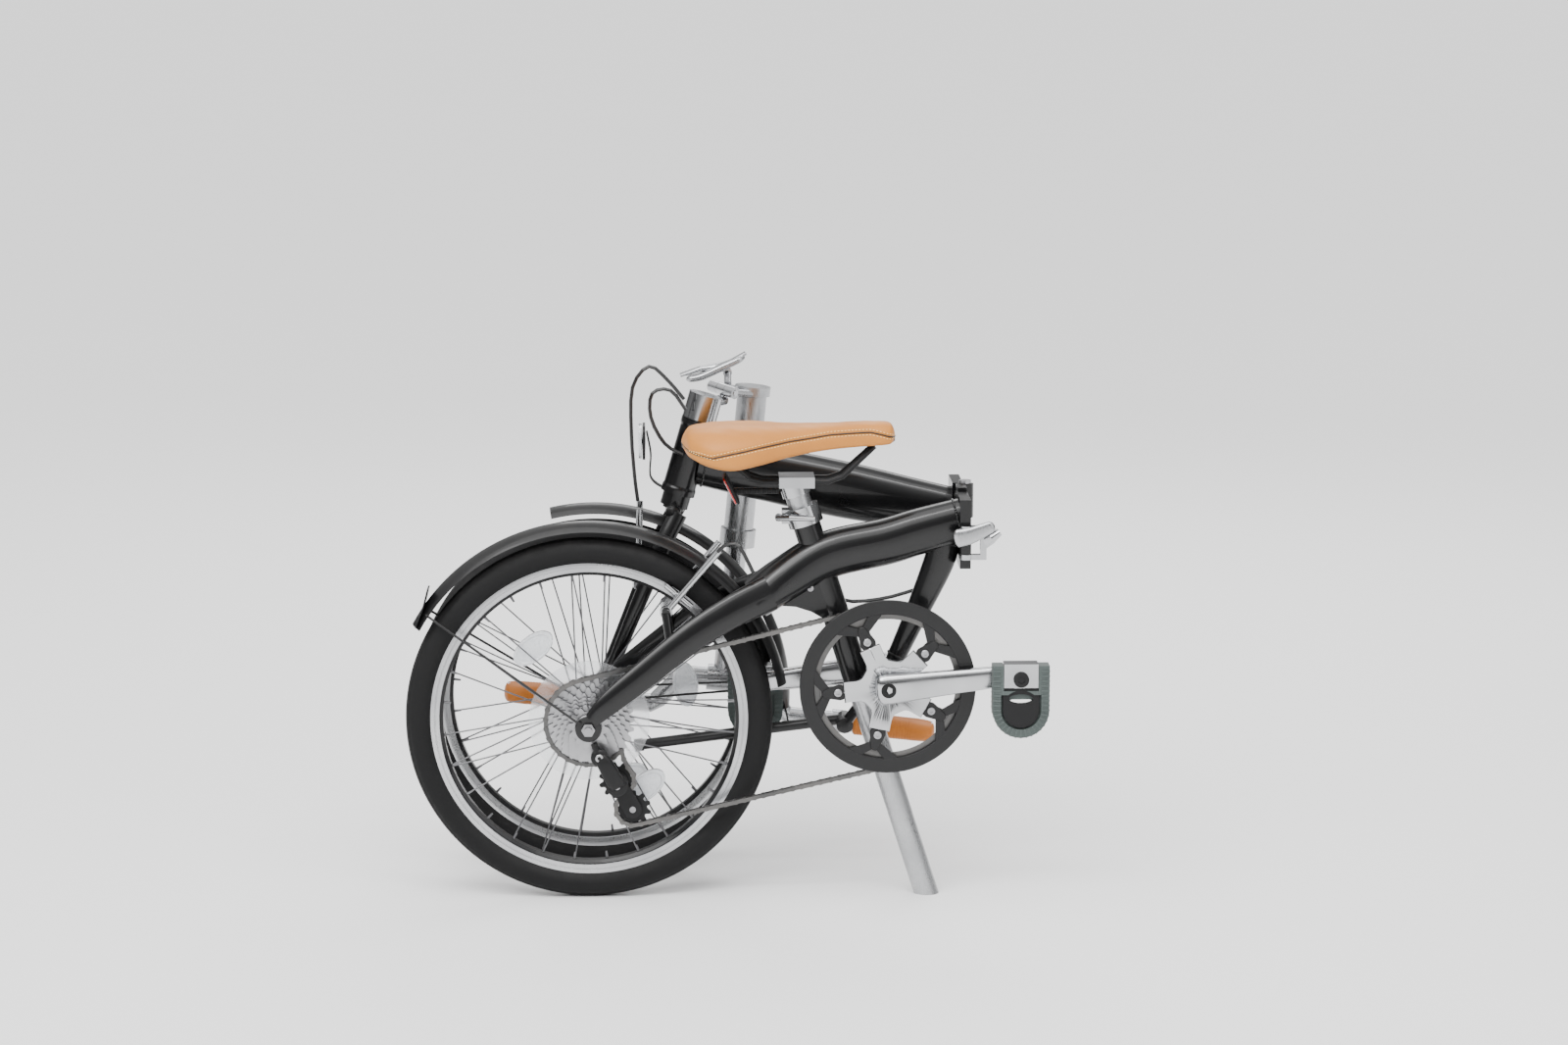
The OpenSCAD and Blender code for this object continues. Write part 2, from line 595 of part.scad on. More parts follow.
// ---- Brakes ----
module brake_arm(pivot, end, side, y, rim_side) {
    dir = unit(end - pivot);
    pad = pivot + 25 * dir;
    across(pivot, 8, side > 0 ? y : y - 9, side > 0 ? y + 9 : y);
    bar(pivot + [0, y + side * 4, 0], end + [0, y + side * 4, 0], 4.5, 32);
    bar(pad + [0, y + side * 4, 0], pad + [0, rim_side + side * 3, 0], 4, 32);
    bar(pad + [-22 * dir[2], rim_side + side * 4, 22 * dir[0]],
        pad + [22 * dir[2], rim_side + side * 4, -22 * dir[0]], 4, 32);
}
pad_gap = 1.6;
rear_pivot = [101, 0, axle_z + 146];
rear_arm_end = [171, 0, axle_z + 227];
module rear_brake_right_arm() color("#c4c6c8") place()
    brake_arm(rear_pivot, rear_arm_end, -1, -26, -rim_w / 2 - pad_gap);
module rear_brake_left_arm() color("#c4c6c8") place()
    brake_arm(rear_pivot, rear_arm_end, 1, 26, rim_w / 2 + pad_gap);
fork_pivot = [64, 0, axle_z + 158];
fork_arm_end = [66, 0, axle_z + 258];
module front_brake_near_arm() color("#c4c6c8") place()
    brake_arm(fork_pivot, fork_arm_end, -1, fold_gap - 28, fold_gap - rim_w / 2 - pad_gap);
module front_brake_far_arm() color("#c4c6c8") place()
    brake_arm(fork_pivot, fork_arm_end, 1, fold_gap + 28, fold_gap + rim_w / 2 + pad_gap);

// ---- Front frame ----
steerer_r = 14.3;
head_r = 22;
head_low = -139;
head_high = -36;
function on_steering(z) = [steer_at[0] + z * sin(head_lean), fold_gap, steer_at[2] + z * cos(head_lean)];
front_path = [[488, fold_gap, axle_z + 249], [430, fold_gap, axle_z + 259], [337, fold_gap, axle_z + 278],
    [240, fold_gap, axle_z + 299], [138, fold_gap, axle_z + 320]];
module front_beam() color("#17181a") place() difference() {
    sweep(front_path, [20, 21, 22, 21.5, 19], [30, 34, 38, 37, 33]);
    sweep([for (i = [0:4]) front_path[i] + [i == 0 ? 1 : i == 4 ? -1 : 0, 0, 0]],
        [17.5, 18.5, 19.5, 19, 16.5], [27.5, 31.5, 35.5, 34.5, 30.5]);
    bar(on_steering(-260), on_steering(60), head_r, 64);
    past_plate();
    translate([-100, 0, 0]) cube([on_steering(-90)[0] + 100, 400, 900]);
}
module head_tube() color("#17181a") place() difference() {
    bar(on_steering(head_low), on_steering(head_high), head_r, 64);
    bar(on_steering(head_low - 5), on_steering(head_high + 5), steerer_r + running, 64);
}
module front_hinge_plate() color("#17181a") place() hinge_half(1, [1]);

// ---- Fork ----
crown_at = on_steering(-161);
module fork() color("#17181a") place() {
    front_axle = [5, fold_gap, axle_z];
    half = front_hub_w / 2;
    bar(crown_at, on_steering(-30), steerer_r, 64);
    across(crown_at, 10.5, fold_gap - 46, fold_gap + 46);
    bar(crown_at + 4 * unit(on_steering(0) - crown_at), on_steering(head_low - 0.4), 19, 64);
    for (side = [-1, 1]) {
        sweep([crown_at + [0, side * 37, 2], [94, fold_gap + side * 45.5, axle_z + 205],
            [62, fold_gap + side * 46.5, axle_z + 128], front_axle + [14, side * 41.5, 24],
            front_axle + [3, side * 40.5, 8]], [9, 8, 8, 5, 3], [12, 12, 10, 8, 8], [0, 1, 0], 20);
        across(front_axle, 13, side > 0 ? fold_gap + half : fold_gap - half - 5,
            side > 0 ? fold_gap + half + 5 : fold_gap - half);
        across(fork_pivot, 6, fold_gap + (side > 0 ? 37.4 : -42), fold_gap + (side > 0 ? 42 : -37.4));
        translate(front_axle + [0, side > 0 ? half + 5 : -half - 10, 0]) rotate([-90, 0, 0])
            cylinder(h = 5, r = 8.5, $fn = 6);
    }
    across(front_axle, axle_r, fold_gap - half - 10.6, fold_gap + half + 10.6);
}
// Middle barrel of the handlepost's hinge, its pin, and the collar that clamps the steerer
barrel_half = 7;
module hinge_barrel(r, from, to) {
    bar(fold_at + from * fold_axis, fold_at + to * fold_axis, r, 48);
}
module post_hinge_base() color("#c4c6c8") place() {
    difference() {
        union() {
            bar(on_steering(head_high + 0.4), on_steering(-1), 23, 64);
            bar(on_steering(-15), fold_at - [0, 0, 14], 8);
            hinge_barrel(8, -barrel_half, barrel_half);
        }
        bar(on_steering(-60), on_steering(-30), steerer_r, 64);
        hinge_clear();
    }
    hinge_barrel(4, -24, 24);
}
module hinge_clear() {
    for (s = [-1, 1]) hinge_barrel(9, s > 0 ? barrel_half + gap : -40, s > 0 ? 40 : -barrel_half - gap);
}

// ---- Handlepost, modelled upright on the steering axis and folded about its diagonal pin ----
module handlepost() color("#c9cbce") place() {
    folded() difference() {
        union() {
            translate([0, 0, 0.5]) cylinder(h = 12, r = 24);
            translate([0, 0, 4]) cylinder(h = 196, r = handlepost_d / 2);
            translate([0, 0, 196]) cylinder(h = 24, r = handlepost_d / 2 + 4);
        }
        translate([0, 0, 26]) cylinder(h = 300, r = mast_d / 2 + running);
    }
    foot = on_steering(9.5);
    turned() difference() {
        for (s = [-1, 1]) {
            hinge_barrel(8, s > 0 ? barrel_half + gap : -23, s > 0 ? 23 : -barrel_half - gap);
            bar(fold_at + s * 17 * fold_axis, foot + s * 17 * fold_axis, 5);
        }
        hinge_barrel(4 + running, -40, 40);
    }
    bar(latch_at - [0, 34, 10], latch_at - [0, 7.2, 0], 5);
}
// Turns what is drawn upright on the steering axis to its folded place
module turned() {
    translate(fold_at) rotate(a = fold_turn, v = fold_axis) translate(-fold_at) children();
}
latch_at = fold_at + [6.5, 62, 13];
module post_latch_lever() color("#c4c6c8") place() {
    sweep([latch_at + [-64, 0, -2], latch_at + [-36, 0, 7], latch_at + [0, 0, 12], latch_at + [25, 0, 28]],
        [7, 6, 6, 7], [3, 4, 5, 3]);
    across(latch_at + [0, 0, 2], 6, latch_at[1] - 5.6, latch_at[1] + 5.6);
}
module mast() color("#c9cbce") place() folded() difference() {
    union() {
        translate([0, 0, 60]) cylinder(h = post_l - 60, r = mast_d / 2);
        translate([0, -22, post_l]) rotate([-90, 0, 0]) cylinder(h = 44, r = bar_d / 2 + 5);
    }
    translate([0, -60, post_l]) rotate([-90, 0, 0]) cylinder(h = 120, r = bar_d / 2 + running);
    translate([0, 0, 50]) cylinder(h = post_l - 80, r = mast_d / 2 - 2.5);
}
rise = 44;
half_bar = bar_l / 2;
grip_l = 114;
lever_y = half_bar - grip_l - 20;
bar_z = post_l + rise;
module bar_tube(r) {
    sweep([for (q = [[12, 4 - half_bar, rise], [3, -150, rise], [0, -95, rise], [0, -85, rise - 7], [0, -60, 7],
        [0, -50, 0], [0, 50, 0], [0, 60, 7], [0, 85, rise - 7], [0, 95, rise], [3, 150, rise],
        [12, half_bar - 4, rise]]) q + [0, 0, post_l]], r, r, [1, 0, 0], 32);
}
module handlebar() color("#c9cbce") place() folded() {
    bar_tube(bar_d / 2);
    for (s = [-1, 1]) {
        across([3.3, 0, bar_z], bar_d / 2 + 3, s * lever_y - 7, s * lever_y + 7);
        for (z = [-9.4, 6.4]) translate([-26, s * lever_y - 6, bar_z + z]) cube([22, 12, 3]);
        translate([-20, s * lever_y, bar_z - 9]) cylinder(h = 18, r = 2.5);
    }
}
module grips() color("#c1702a") place() folded() difference() {
    for (s = [-1, 1]) sweep([for (t = [0, 0.2, 0.6, 0.85, 1]) [12 * (0.45 + 0.55 * t),
        s * (half_bar - grip_l * (1 - t)), bar_z]], [17, 17, 22, 26, 20], [16, 16, 15, 14, 12], [1, 0, 0], 24);
    bar_tube(bar_d / 2 + running);
}
module lever(s) folded() difference() {
    union() {
        translate([-25, s * lever_y - 7, bar_z - 6]) cube([9.5, 14, 12]);
        sweep([[-21, s * lever_y, bar_z], [-34, s * (lever_y + 30), bar_z], [-38, s * (lever_y + 75), bar_z],
            [-40, s * (lever_y + 95), bar_z]], [5.5, 5, 5, 4], [5, 5, 5, 4], [0, 0, 1], 16);
    }
    translate([-20, s * lever_y, bar_z - 20]) cylinder(h = 40, r = 2.5 + running);
}
module front_brake_lever() color("#202123") place() lever(-1);
module rear_brake_lever() color("#202123") place() lever(1);

// ---- Cables ----
module cable(points, ref) {
    sweep(smooth(points, 3), 2.5, 2.5, ref, 8);
}
module rear_cables() color("#101011") place() {
    cable([[298, 23.4, axle_z + 186], [330, 30, axle_z + 150], [380, 28, axle_z + 150],
        [430, 20, axle_z + 165], [452, 15, axle_z + 176]], [0, 1, 0]);
    cable([[214, -46, axle_z + 200], [196, -42, axle_z + 234], [180, -38, axle_z + 236],
        [168, -37.4, axle_z + 226]], [0, 1, 0]);
}
module front_cables() color("#101011") place() {
    side = fold_gap - 26;
    cable([[126, side, axle_z + 404], [104, side, axle_z + 430], [80, side, axle_z + 448],
        [58, side, axle_z + 420], [56, side, axle_z + 360], [60, side, axle_z + 300],
        [64, side, axle_z + 268]], [0, 1, 0]);
    cable([[128, side, axle_z + 390], [108, side, axle_z + 416], [84, side, axle_z + 412],
        [82, side, axle_z + 380], [100, side, axle_z + 345], [124, side - 1, axle_z + 330]], [0, 1, 0]);
}

rear_beam();
right_stay();
left_stay();
seat_tube();
bottom_bracket_shell();
hinge_strut();
rear_hinge_plate();
main_hinge_pin();
seat_collar();
rear_fender();
rear_axle();
derailleur();
chain();
rear_cables();
rear_tyre();
rear_rim();
rear_spokes();
rear_hub();
cassette();
crank_axle();
right_crank();
chainring();
chain_guard();
left_crank();
right_pedal_block();
right_pedal();
left_pedal_block();
left_pedal();
guide_pulley();
tension_pulley();
seatpost();
saddle_clamp();
saddle();
saddle_rails();
tail_reflector();
seat_clamp_lever();
kickstand_leg();
rear_brake_right_arm();
rear_brake_left_arm();
front_beam();
head_tube();
front_hinge_plate();
frame_latch_lever();
fork();
post_hinge_base();
front_fender();
front_cables();
front_brake_near_arm();
front_brake_far_arm();
front_tyre();
front_rim();
front_spokes();
front_hub();
handlepost();
post_latch_lever();
mast();
handlebar();
grips();
front_brake_lever();
rear_brake_lever();
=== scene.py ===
import math

import bpy
import numpy as np
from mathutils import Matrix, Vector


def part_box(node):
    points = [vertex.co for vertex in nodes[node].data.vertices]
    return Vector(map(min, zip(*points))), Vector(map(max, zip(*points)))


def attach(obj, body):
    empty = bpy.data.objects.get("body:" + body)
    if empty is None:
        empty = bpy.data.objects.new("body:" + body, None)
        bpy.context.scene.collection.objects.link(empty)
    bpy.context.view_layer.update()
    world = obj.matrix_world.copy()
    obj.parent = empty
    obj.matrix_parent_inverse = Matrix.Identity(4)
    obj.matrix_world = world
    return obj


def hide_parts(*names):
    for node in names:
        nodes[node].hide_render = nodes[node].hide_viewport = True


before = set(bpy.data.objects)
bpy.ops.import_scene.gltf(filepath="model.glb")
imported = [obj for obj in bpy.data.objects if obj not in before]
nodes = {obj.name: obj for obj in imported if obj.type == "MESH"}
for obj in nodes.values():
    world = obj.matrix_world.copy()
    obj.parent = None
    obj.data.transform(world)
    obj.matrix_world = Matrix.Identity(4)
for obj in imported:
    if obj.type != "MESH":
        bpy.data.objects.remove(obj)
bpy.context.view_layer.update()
print("frame loaded,", len(nodes), "nodes")

# the camera's place in metres, its tilt up from straight down and its turn in degrees, and its lens in mm
camera = {"at": (-0.0613, -4.7631, 1.3168), "tilt": 80.1, "turn": -1.7, "lens": 84.1, "sensor": 36, "farEnd": 60}
# half the floor's side, the sky's strength overhead and at the horizon and the heights it fades between, the
# sun's strength, spread and turns in degrees, and each lamp's place, target, watts, width and depth
studio = {"floor": 60.0, "floorColour": (0.93, 0.93, 0.93), "floorRough": 0.6, "floorCloud": 0.985,
          "sky": 1.25, "low": 0.10, "fade": (0.05, 0.75), "sun": 2.6, "sunSpread": 70, "sunTurn": (32, 0, -24),
          "lamps": {"keyLamp": ((-1.6, -2.2, 3.0), (0, 0, 0.3), 62.0, 2.4, 1.6),
                    "fillLamp": ((2.6, -2.4, 1.6), (0, 0, 0.3), 26.0, 2.0, 2.0),
                    "rimLamp": ((0.6, 2.6, 2.4), (0, 0, 0.35), 40.0, 2.6, 1.2),
                    "stripLamp": ((0.1, -1.4, 2.3), (0.05, 0, 0.45), 20.0, 2.0, 0.25)}}


def placed(name, data, turn, at=(0, 0, 0)):
    # a new object of that data, turned and put in its place
    thing = bpy.data.objects.new(name, data)
    bpy.context.scene.collection.objects.link(thing)
    thing.rotation_euler, thing.location = turn, at
    return thing


def addLight(name, at, target, power, wide, deep):
    # a soft rectangular lamp that faces its target: tipped by acos(-z), turned to the target's bearing
    data = bpy.data.lights.new(name, "AREA")
    data.shape = "RECTANGLE"
    data.energy, data.size, data.size_y = power, wide, deep
    way = np.array(target, float) - np.array(at, float)
    way /= np.linalg.norm(way)
    placed(name, data, (math.acos(-way[2]), 0, math.atan2(way[1], way[0]) - math.pi / 2), at)


def makeWorld():
    # a white sky whose strength rises with the height looked at
    world = bpy.data.worlds.new("studio")
    world.use_nodes = True
    tree = world.node_tree
    background = tree.nodes["Background"]
    background.inputs[0].default_value = (1, 1, 1, 1)
    way, axes, fade = (tree.nodes.new("ShaderNode" + kind) for kind in ("TexCoord", "SeparateXYZ", "MapRange"))
    for at, value in zip((1, 2, 3, 4), (*studio["fade"], studio["low"], studio["sky"])):
        fade.inputs[at].default_value = value
    tree.links.new(way.outputs["Generated"], axes.inputs[0])
    tree.links.new(axes.outputs[2], fade.inputs[0])
    tree.links.new(fade.outputs[0], background.inputs[1])
    bpy.context.scene.world = world


cameraData = bpy.data.cameras.new("camera")
cameraData.lens, cameraData.sensor_width, cameraData.clip_end = camera["lens"], camera["sensor"], camera["farEnd"]
cameraTurn = [math.radians(q) for q in (camera["tilt"], 0, camera["turn"])]
bpy.context.scene.camera = placed("camera", cameraData, cameraTurn, camera["at"])
for name, lamp in studio["lamps"].items():
    addLight(name, *lamp)
sun = bpy.data.lights.new("softSun", "SUN")
sun.energy, sun.angle = studio["sun"], math.radians(studio["sunSpread"])
placed("softSun", sun, [math.radians(q) for q in studio["sunTurn"]])
makeWorld()
print("camera and lights set")


def makeMesh(name, shape, body, look, cad=(), sharp=38):
    # one mesh object in its place, riding on its body; edges above sharp degrees stay crisp
    points, faces = shape
    mesh = bpy.data.meshes.new(name)
    mesh.from_pydata(np.asarray(points, float).tolist(), [], [tuple(f) for f in faces])
    mesh.validate()
    mesh.update()
    thing = bpy.data.objects.new(name, mesh)
    bpy.context.scene.collection.objects.link(thing)
    mesh.shade_smooth()
    mesh.set_sharp_from_angle(angle=math.radians(sharp))
    mesh.materials.append(finish[look])
    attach(thing, body)
    if cad:
        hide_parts(*cad)
    return thing


def fullTurn(count):
    # evenly spaced angles round one turn
    return np.linspace(0, 2 * np.pi, count, endpoint=False)


def gridFaces(rows, cols, closeRows, closeCols, start=0):
    # the quads of a rows x cols grid, wrapped where it closes
    i, j = np.meshgrid(np.arange(rows if closeRows else rows - 1),
                       np.arange(cols if closeCols else cols - 1), indexing="ij")
    a, b = i.ravel(), j.ravel()
    c, d = (a + 1) % rows, (b + 1) % cols
    return (np.stack([a * cols + b, a * cols + d, c * cols + d, c * cols + b], 1) + start).tolist()


def tubeGrid(grid):
    # a rows x cols grid of closed rings, with a flat cap at each end
    rows, cols = grid.shape[:2]
    faces = gridFaces(rows, cols, False, True)
    faces += [list(range(cols))[::-1], list(range((rows - 1) * cols, rows * cols))]
    return grid.reshape(-1, 3), faces


def joined(parts):
    # several point and face lists as one
    points, faces, start = [], [], 0
    for p, f in parts:
        points.append(np.asarray(p, float).reshape(-1, 3))
        faces += [[k + start for k in face] for face in f]
        start += len(points[-1])
    return np.concatenate(points), faces


def splineThrough(points, count):
    # Catmull-Rom curve through points of any width:
    # p = 0.5 (2b + (c - a) t + (2a - 5b + 4c - d) t^2 + (3b - a - 3c + d) t^3)
    p = np.asarray(points, float)
    p = np.vstack([2 * p[0] - p[1], p, 2 * p[-1] - p[-2]])
    s = np.linspace(0, len(points) - 1, count)
    i = np.minimum(s.astype(int), len(points) - 2)
    t = (s - i)[:, None]
    a, b, c, d = p[i], p[i + 1], p[i + 2], p[i + 3]
    return 0.5 * (2 * b + (c - a) * t + (2 * a - 5 * b + 4 * c - d) * t ** 2 + (3 * b - a - 3 * c + d) * t ** 3)


def unitRows(v):
    # each row divided by its own length
    return v / np.maximum(np.linalg.norm(v, axis=-1, keepdims=True), 1e-12)


def sweepGrid(path, wide, high, ref=(0, 1, 0), sides=48, power=2.0, closed=False):
    # rings square to the path: p + wide c(a) side + high s(a) up, with c, s a superellipse of that power
    path, ref = np.asarray(path, float), np.asarray(ref, float)
    ahead = np.roll(path, -1, 0) - np.roll(path, 1, 0) if closed else np.gradient(path, axis=0)
    way = unitRows(ahead)
    side = unitRows(ref - (way @ ref)[:, None] * way)
    up = np.cross(side, way)
    a = fullTurn(sides)
    c, s = (np.sign(q) * np.abs(q) ** (2 / power) for q in (np.cos(a), np.sin(a)))
    w, h = (np.broadcast_to(np.asarray(r, float), (len(path),))[:, None, None] for r in (wide, high))
    return path[:, None] + w * c[None, :, None] * side[:, None] + h * s[None, :, None] * up[:, None]


def roundedEnds(wide, high, count, ease=0.06):
    # radii that close smoothly at both ends: r sqrt(1 - (1 - t/ease)^2) for t < ease
    t = np.linspace(0, 1, count)
    near = np.clip(np.minimum(t, 1 - t) / ease, 0.0, 1)
    k = np.sqrt(np.clip(1 - (1 - near) ** 2, 0.0, 1)) * 0.985 + 0.015
    return np.asarray(wide) * k, np.asarray(high) * k


def tubePart(points, radius, count=40, sides=20, ref=(0, 1, 0), ends=0.0):
    # a round tube on the curve through points, its radius going from value to value, its ends round if asked
    path = splineThrough(points, count) if len(points) > 2 else np.linspace(points[0], points[1], count)
    r = h = np.interp(np.linspace(0, 1, count), np.linspace(0, 1, np.size(radius)), np.atleast_1d(radius))
    if ends:
        r, h = roundedEnds(r, r, count, ends)
    return tubeGrid(sweepGrid(path, r, h, ref, sides))


def revolved(profile, centre, steps=96, close=True):
    # profile rows (r, y) turned about Y through centre: (r cos a, y, r sin a)
    r, y = np.asarray(profile, float).T[:, None]
    a = fullTurn(steps)[:, None]
    grid = np.stack([r * np.cos(a), np.broadcast_to(y, (steps, y.size)), r * np.sin(a)], -1)
    return (grid + np.asarray(centre, float)).reshape(-1, 3), gridFaces(steps, y.size, True, close)


def ringPart(at, rIn, rOut, y0, y1, steps=96, bevel=0.0006):
    # a flat ring about Y at x and z of at; its radii are numbers or functions r(a), and its edges are bevelled
    a = fullTurn(steps)
    i, o = (r(a) if callable(r) else np.full(steps, r) for r in (rIn, rOut))
    r = np.stack([i + bevel, o - bevel, o, o, o - bevel, i + bevel, i, i], 1)
    y = np.array([y1, y1, y1 - bevel, y0 + bevel, y0, y0, y0 + bevel, y1 - bevel])
    grid = np.stack([r * np.cos(a)[:, None], np.broadcast_to(y, r.shape), r * np.sin(a)[:, None]], -1)
    return (grid + (at[0], 0, at[2])).reshape(-1, 3), gridFaces(steps, 8, True, True)


def platePart(outline, y0, y1, bevel=0.0006):
    # a flat plate: an outline in x and z carried from y0 to y1, its edge bevelled towards its middle
    o = np.asarray(outline, float)
    m = o.mean(0)
    inner = o - bevel * unitRows(o - m)
    rows = [(inner, y0), (o, y0 + bevel), (o, y1 - bevel), (inner, y1)]
    return tubeGrid(np.stack([np.stack([q[:, 0], np.full(len(q), y), q[:, 1]], 1) for q, y in rows]))


def roundPart(at, radius, y0, y1, steps=40, bevel=0.0008, dome=0.0):
    # a short round boss about Y with bevelled rims and, where asked, a domed near face
    rows = [(0.0001, y0 - dome), (radius * 0.5, y0 - dome * 0.8), (radius - bevel, y0), (radius, y0 + bevel),
            (radius, y1 - bevel), (radius - bevel, y1), (0.0001, y1)]
    return revolved(rows, (at[0], 0, at[2]), steps, False)


def middle(node):
    # the centre of a node's box
    lo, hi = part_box(node)
    return (np.array(lo) + np.array(hi)) / 2


def newGroup(name, inputs, outputs):
    # an empty shader group with its sockets, and its two end nodes
    group = bpy.data.node_groups.new(name, "ShaderNodeTree")
    for label, kind, value in inputs:
        socket = group.interface.new_socket(label, in_out="INPUT", socket_type="NodeSocket" + kind)
        if value is not None:
            socket.default_value = value
    for label in outputs:
        group.interface.new_socket(label, in_out="OUTPUT", socket_type="NodeSocketFloat")
    return group, group.nodes.new("NodeGroupInput"), group.nodes.new("NodeGroupOutput")


def wire(tree, a, b):
    # output a feeds input b
    tree.links.new(a, b)


def noiseNode(tree, place, scale, detail=3.0, rough=0.5):
    # the noise at a place, from 0 to 1
    n = tree.nodes.new("ShaderNodeTexNoise")
    for label, value in (("Scale", scale), ("Detail", detail), ("Roughness", rough)):
        n.inputs[label].default_value = value
    wire(tree, place, n.inputs["Vector"])
    return n.outputs["Fac"]


def mathNode(tree, kind, a, b, clamp=False):
    # a sum or product of two outputs or numbers
    n = tree.nodes.new("ShaderNodeMath")
    n.operation, n.use_clamp = kind, clamp
    for k, v in enumerate((a, b)):
        if isinstance(v, (int, float)):
            n.inputs[k].default_value = v
        else:
            wire(tree, v, n.inputs[k])
    return n.outputs[0]


def rangeNode(tree, value, lo, hi, outLo, outHi):
    # value carried in a straight line from lo..hi to outLo..outHi, and held at its ends
    n = tree.nodes.new("ShaderNodeMapRange")
    wire(tree, value, n.inputs["Value"])
    for label, v in (("From Min", lo), ("From Max", hi), ("To Min", outLo), ("To Max", outHi)):
        n.inputs[label].default_value = v
    return n.outputs[0]


def stretchedGroup():
    # fine lines: noise on coordinates pulled long in one direction, as a brush or a lathe leaves them
    sockets = [("Place", "Vector", None), ("Stretch", "Vector", (1, 1, 1))]
    g, gin, gout = newGroup("brushedLines", sockets, ["Lines"])
    m = g.nodes.new("ShaderNodeVectorMath")
    m.operation = "MULTIPLY"
    wire(g, gin.outputs["Place"], m.inputs[0])
    wire(g, gin.outputs["Stretch"], m.inputs[1])
    wire(g, noiseNode(g, m.outputs[0], 1.0, 4.0, 0.65), gout.inputs["Lines"])
    return g


def scuffGroup():
    # handling marks: broad cloudy patches times thin broken scratches times the amount
    sockets = [("Place", "Vector", None), ("Amount", "Float", 0.3)]
    g, gin, gout = newGroup("handlingMarks", sockets, ["Mask", "Cloud"])
    place = gin.outputs["Place"]
    cloud, thin = noiseNode(g, place, 14.0, 3.0), noiseNode(g, place, 160.0, 6.0, 0.7)
    patches, scratches = rangeNode(g, cloud, 0.45, 0.7, 0.0, 1.0), rangeNode(g, thin, 0.58, 0.72, 0.0, 1.0)
    both = mathNode(g, "MULTIPLY", patches, scratches)
    wire(g, mathNode(g, "MULTIPLY", both, gin.outputs["Amount"], True), gout.inputs["Mask"])
    wire(g, cloud, gout.inputs["Cloud"])
    return g


def grainGroup():
    # pebbled skin: rounded cells with fine pores between them, height = distance + 0.3 noise
    sockets = [("Place", "Vector", None), ("Scale", "Float", 600.0)]
    g, gin, gout = newGroup("pebbleGrain", sockets, ["Height", "Cells"])
    v = g.nodes.new("ShaderNodeTexVoronoi")
    v.feature = "SMOOTH_F1"
    wire(g, gin.outputs["Place"], v.inputs["Vector"])
    wire(g, gin.outputs["Scale"], v.inputs["Scale"])
    pores = mathNode(g, "MULTIPLY", noiseNode(g, gin.outputs["Place"], 1200.0, 2.0), 0.3)
    wire(g, mathNode(g, "ADD", v.outputs["Distance"], pores), gout.inputs["Height"])
    wire(g, rangeNode(g, v.outputs["Distance"], 0.0, 0.8, 0.0, 1.0), gout.inputs["Cells"])
    return g


def dustGroup():
    # dust that settles where a surface faces up, broken by a soft noise
    g, gin, gout = newGroup("settledDust", [("Place", "Vector", None), ("Normal", "Vector", None),
                                            ("Amount", "Float", 0.2)], ["Mask"])
    s = g.nodes.new("ShaderNodeSeparateXYZ")
    wire(g, gin.outputs["Normal"], s.inputs[0])
    soft = rangeNode(g, noiseNode(g, gin.outputs["Place"], 45.0, 5.0, 0.6), 0.4, 0.75, 0.2, 1.0)
    m = mathNode(g, "MULTIPLY", rangeNode(g, s.outputs["Z"], 0.1, 1.0, 0.0, 1.0), soft)
    wire(g, mathNode(g, "MULTIPLY", m, gin.outputs["Amount"], True), gout.inputs["Mask"])
    return g


groups = {"lines": stretchedGroup(), "marks": scuffGroup(), "grain": grainGroup(), "dust": dustGroup()}


def feed(tree, socket, v):
    # an output is wired in and a value is set on the socket itself
    if hasattr(v, "is_linked"):
        wire(tree, v, socket)
    else:
        socket.default_value = v


def useGroup(tree, key, **values):
    # a shared group placed in this material with its own values
    n = tree.nodes.new("ShaderNodeGroup")
    n.node_tree = groups[key]
    for label, v in values.items():
        feed(tree, n.inputs[label], v)
    return n


def mixColour(tree, mask, a, b):
    # colour a where the mask is 0, b where it is 1
    n = tree.nodes.new("ShaderNodeMix")
    n.data_type = "RGBA"
    wire(tree, mask, n.inputs[0])
    for k, v in ((6, a), (7, b)):
        feed(tree, n.inputs[k], (*v, 1) if isinstance(v, tuple) else v)
    return n.outputs[2]


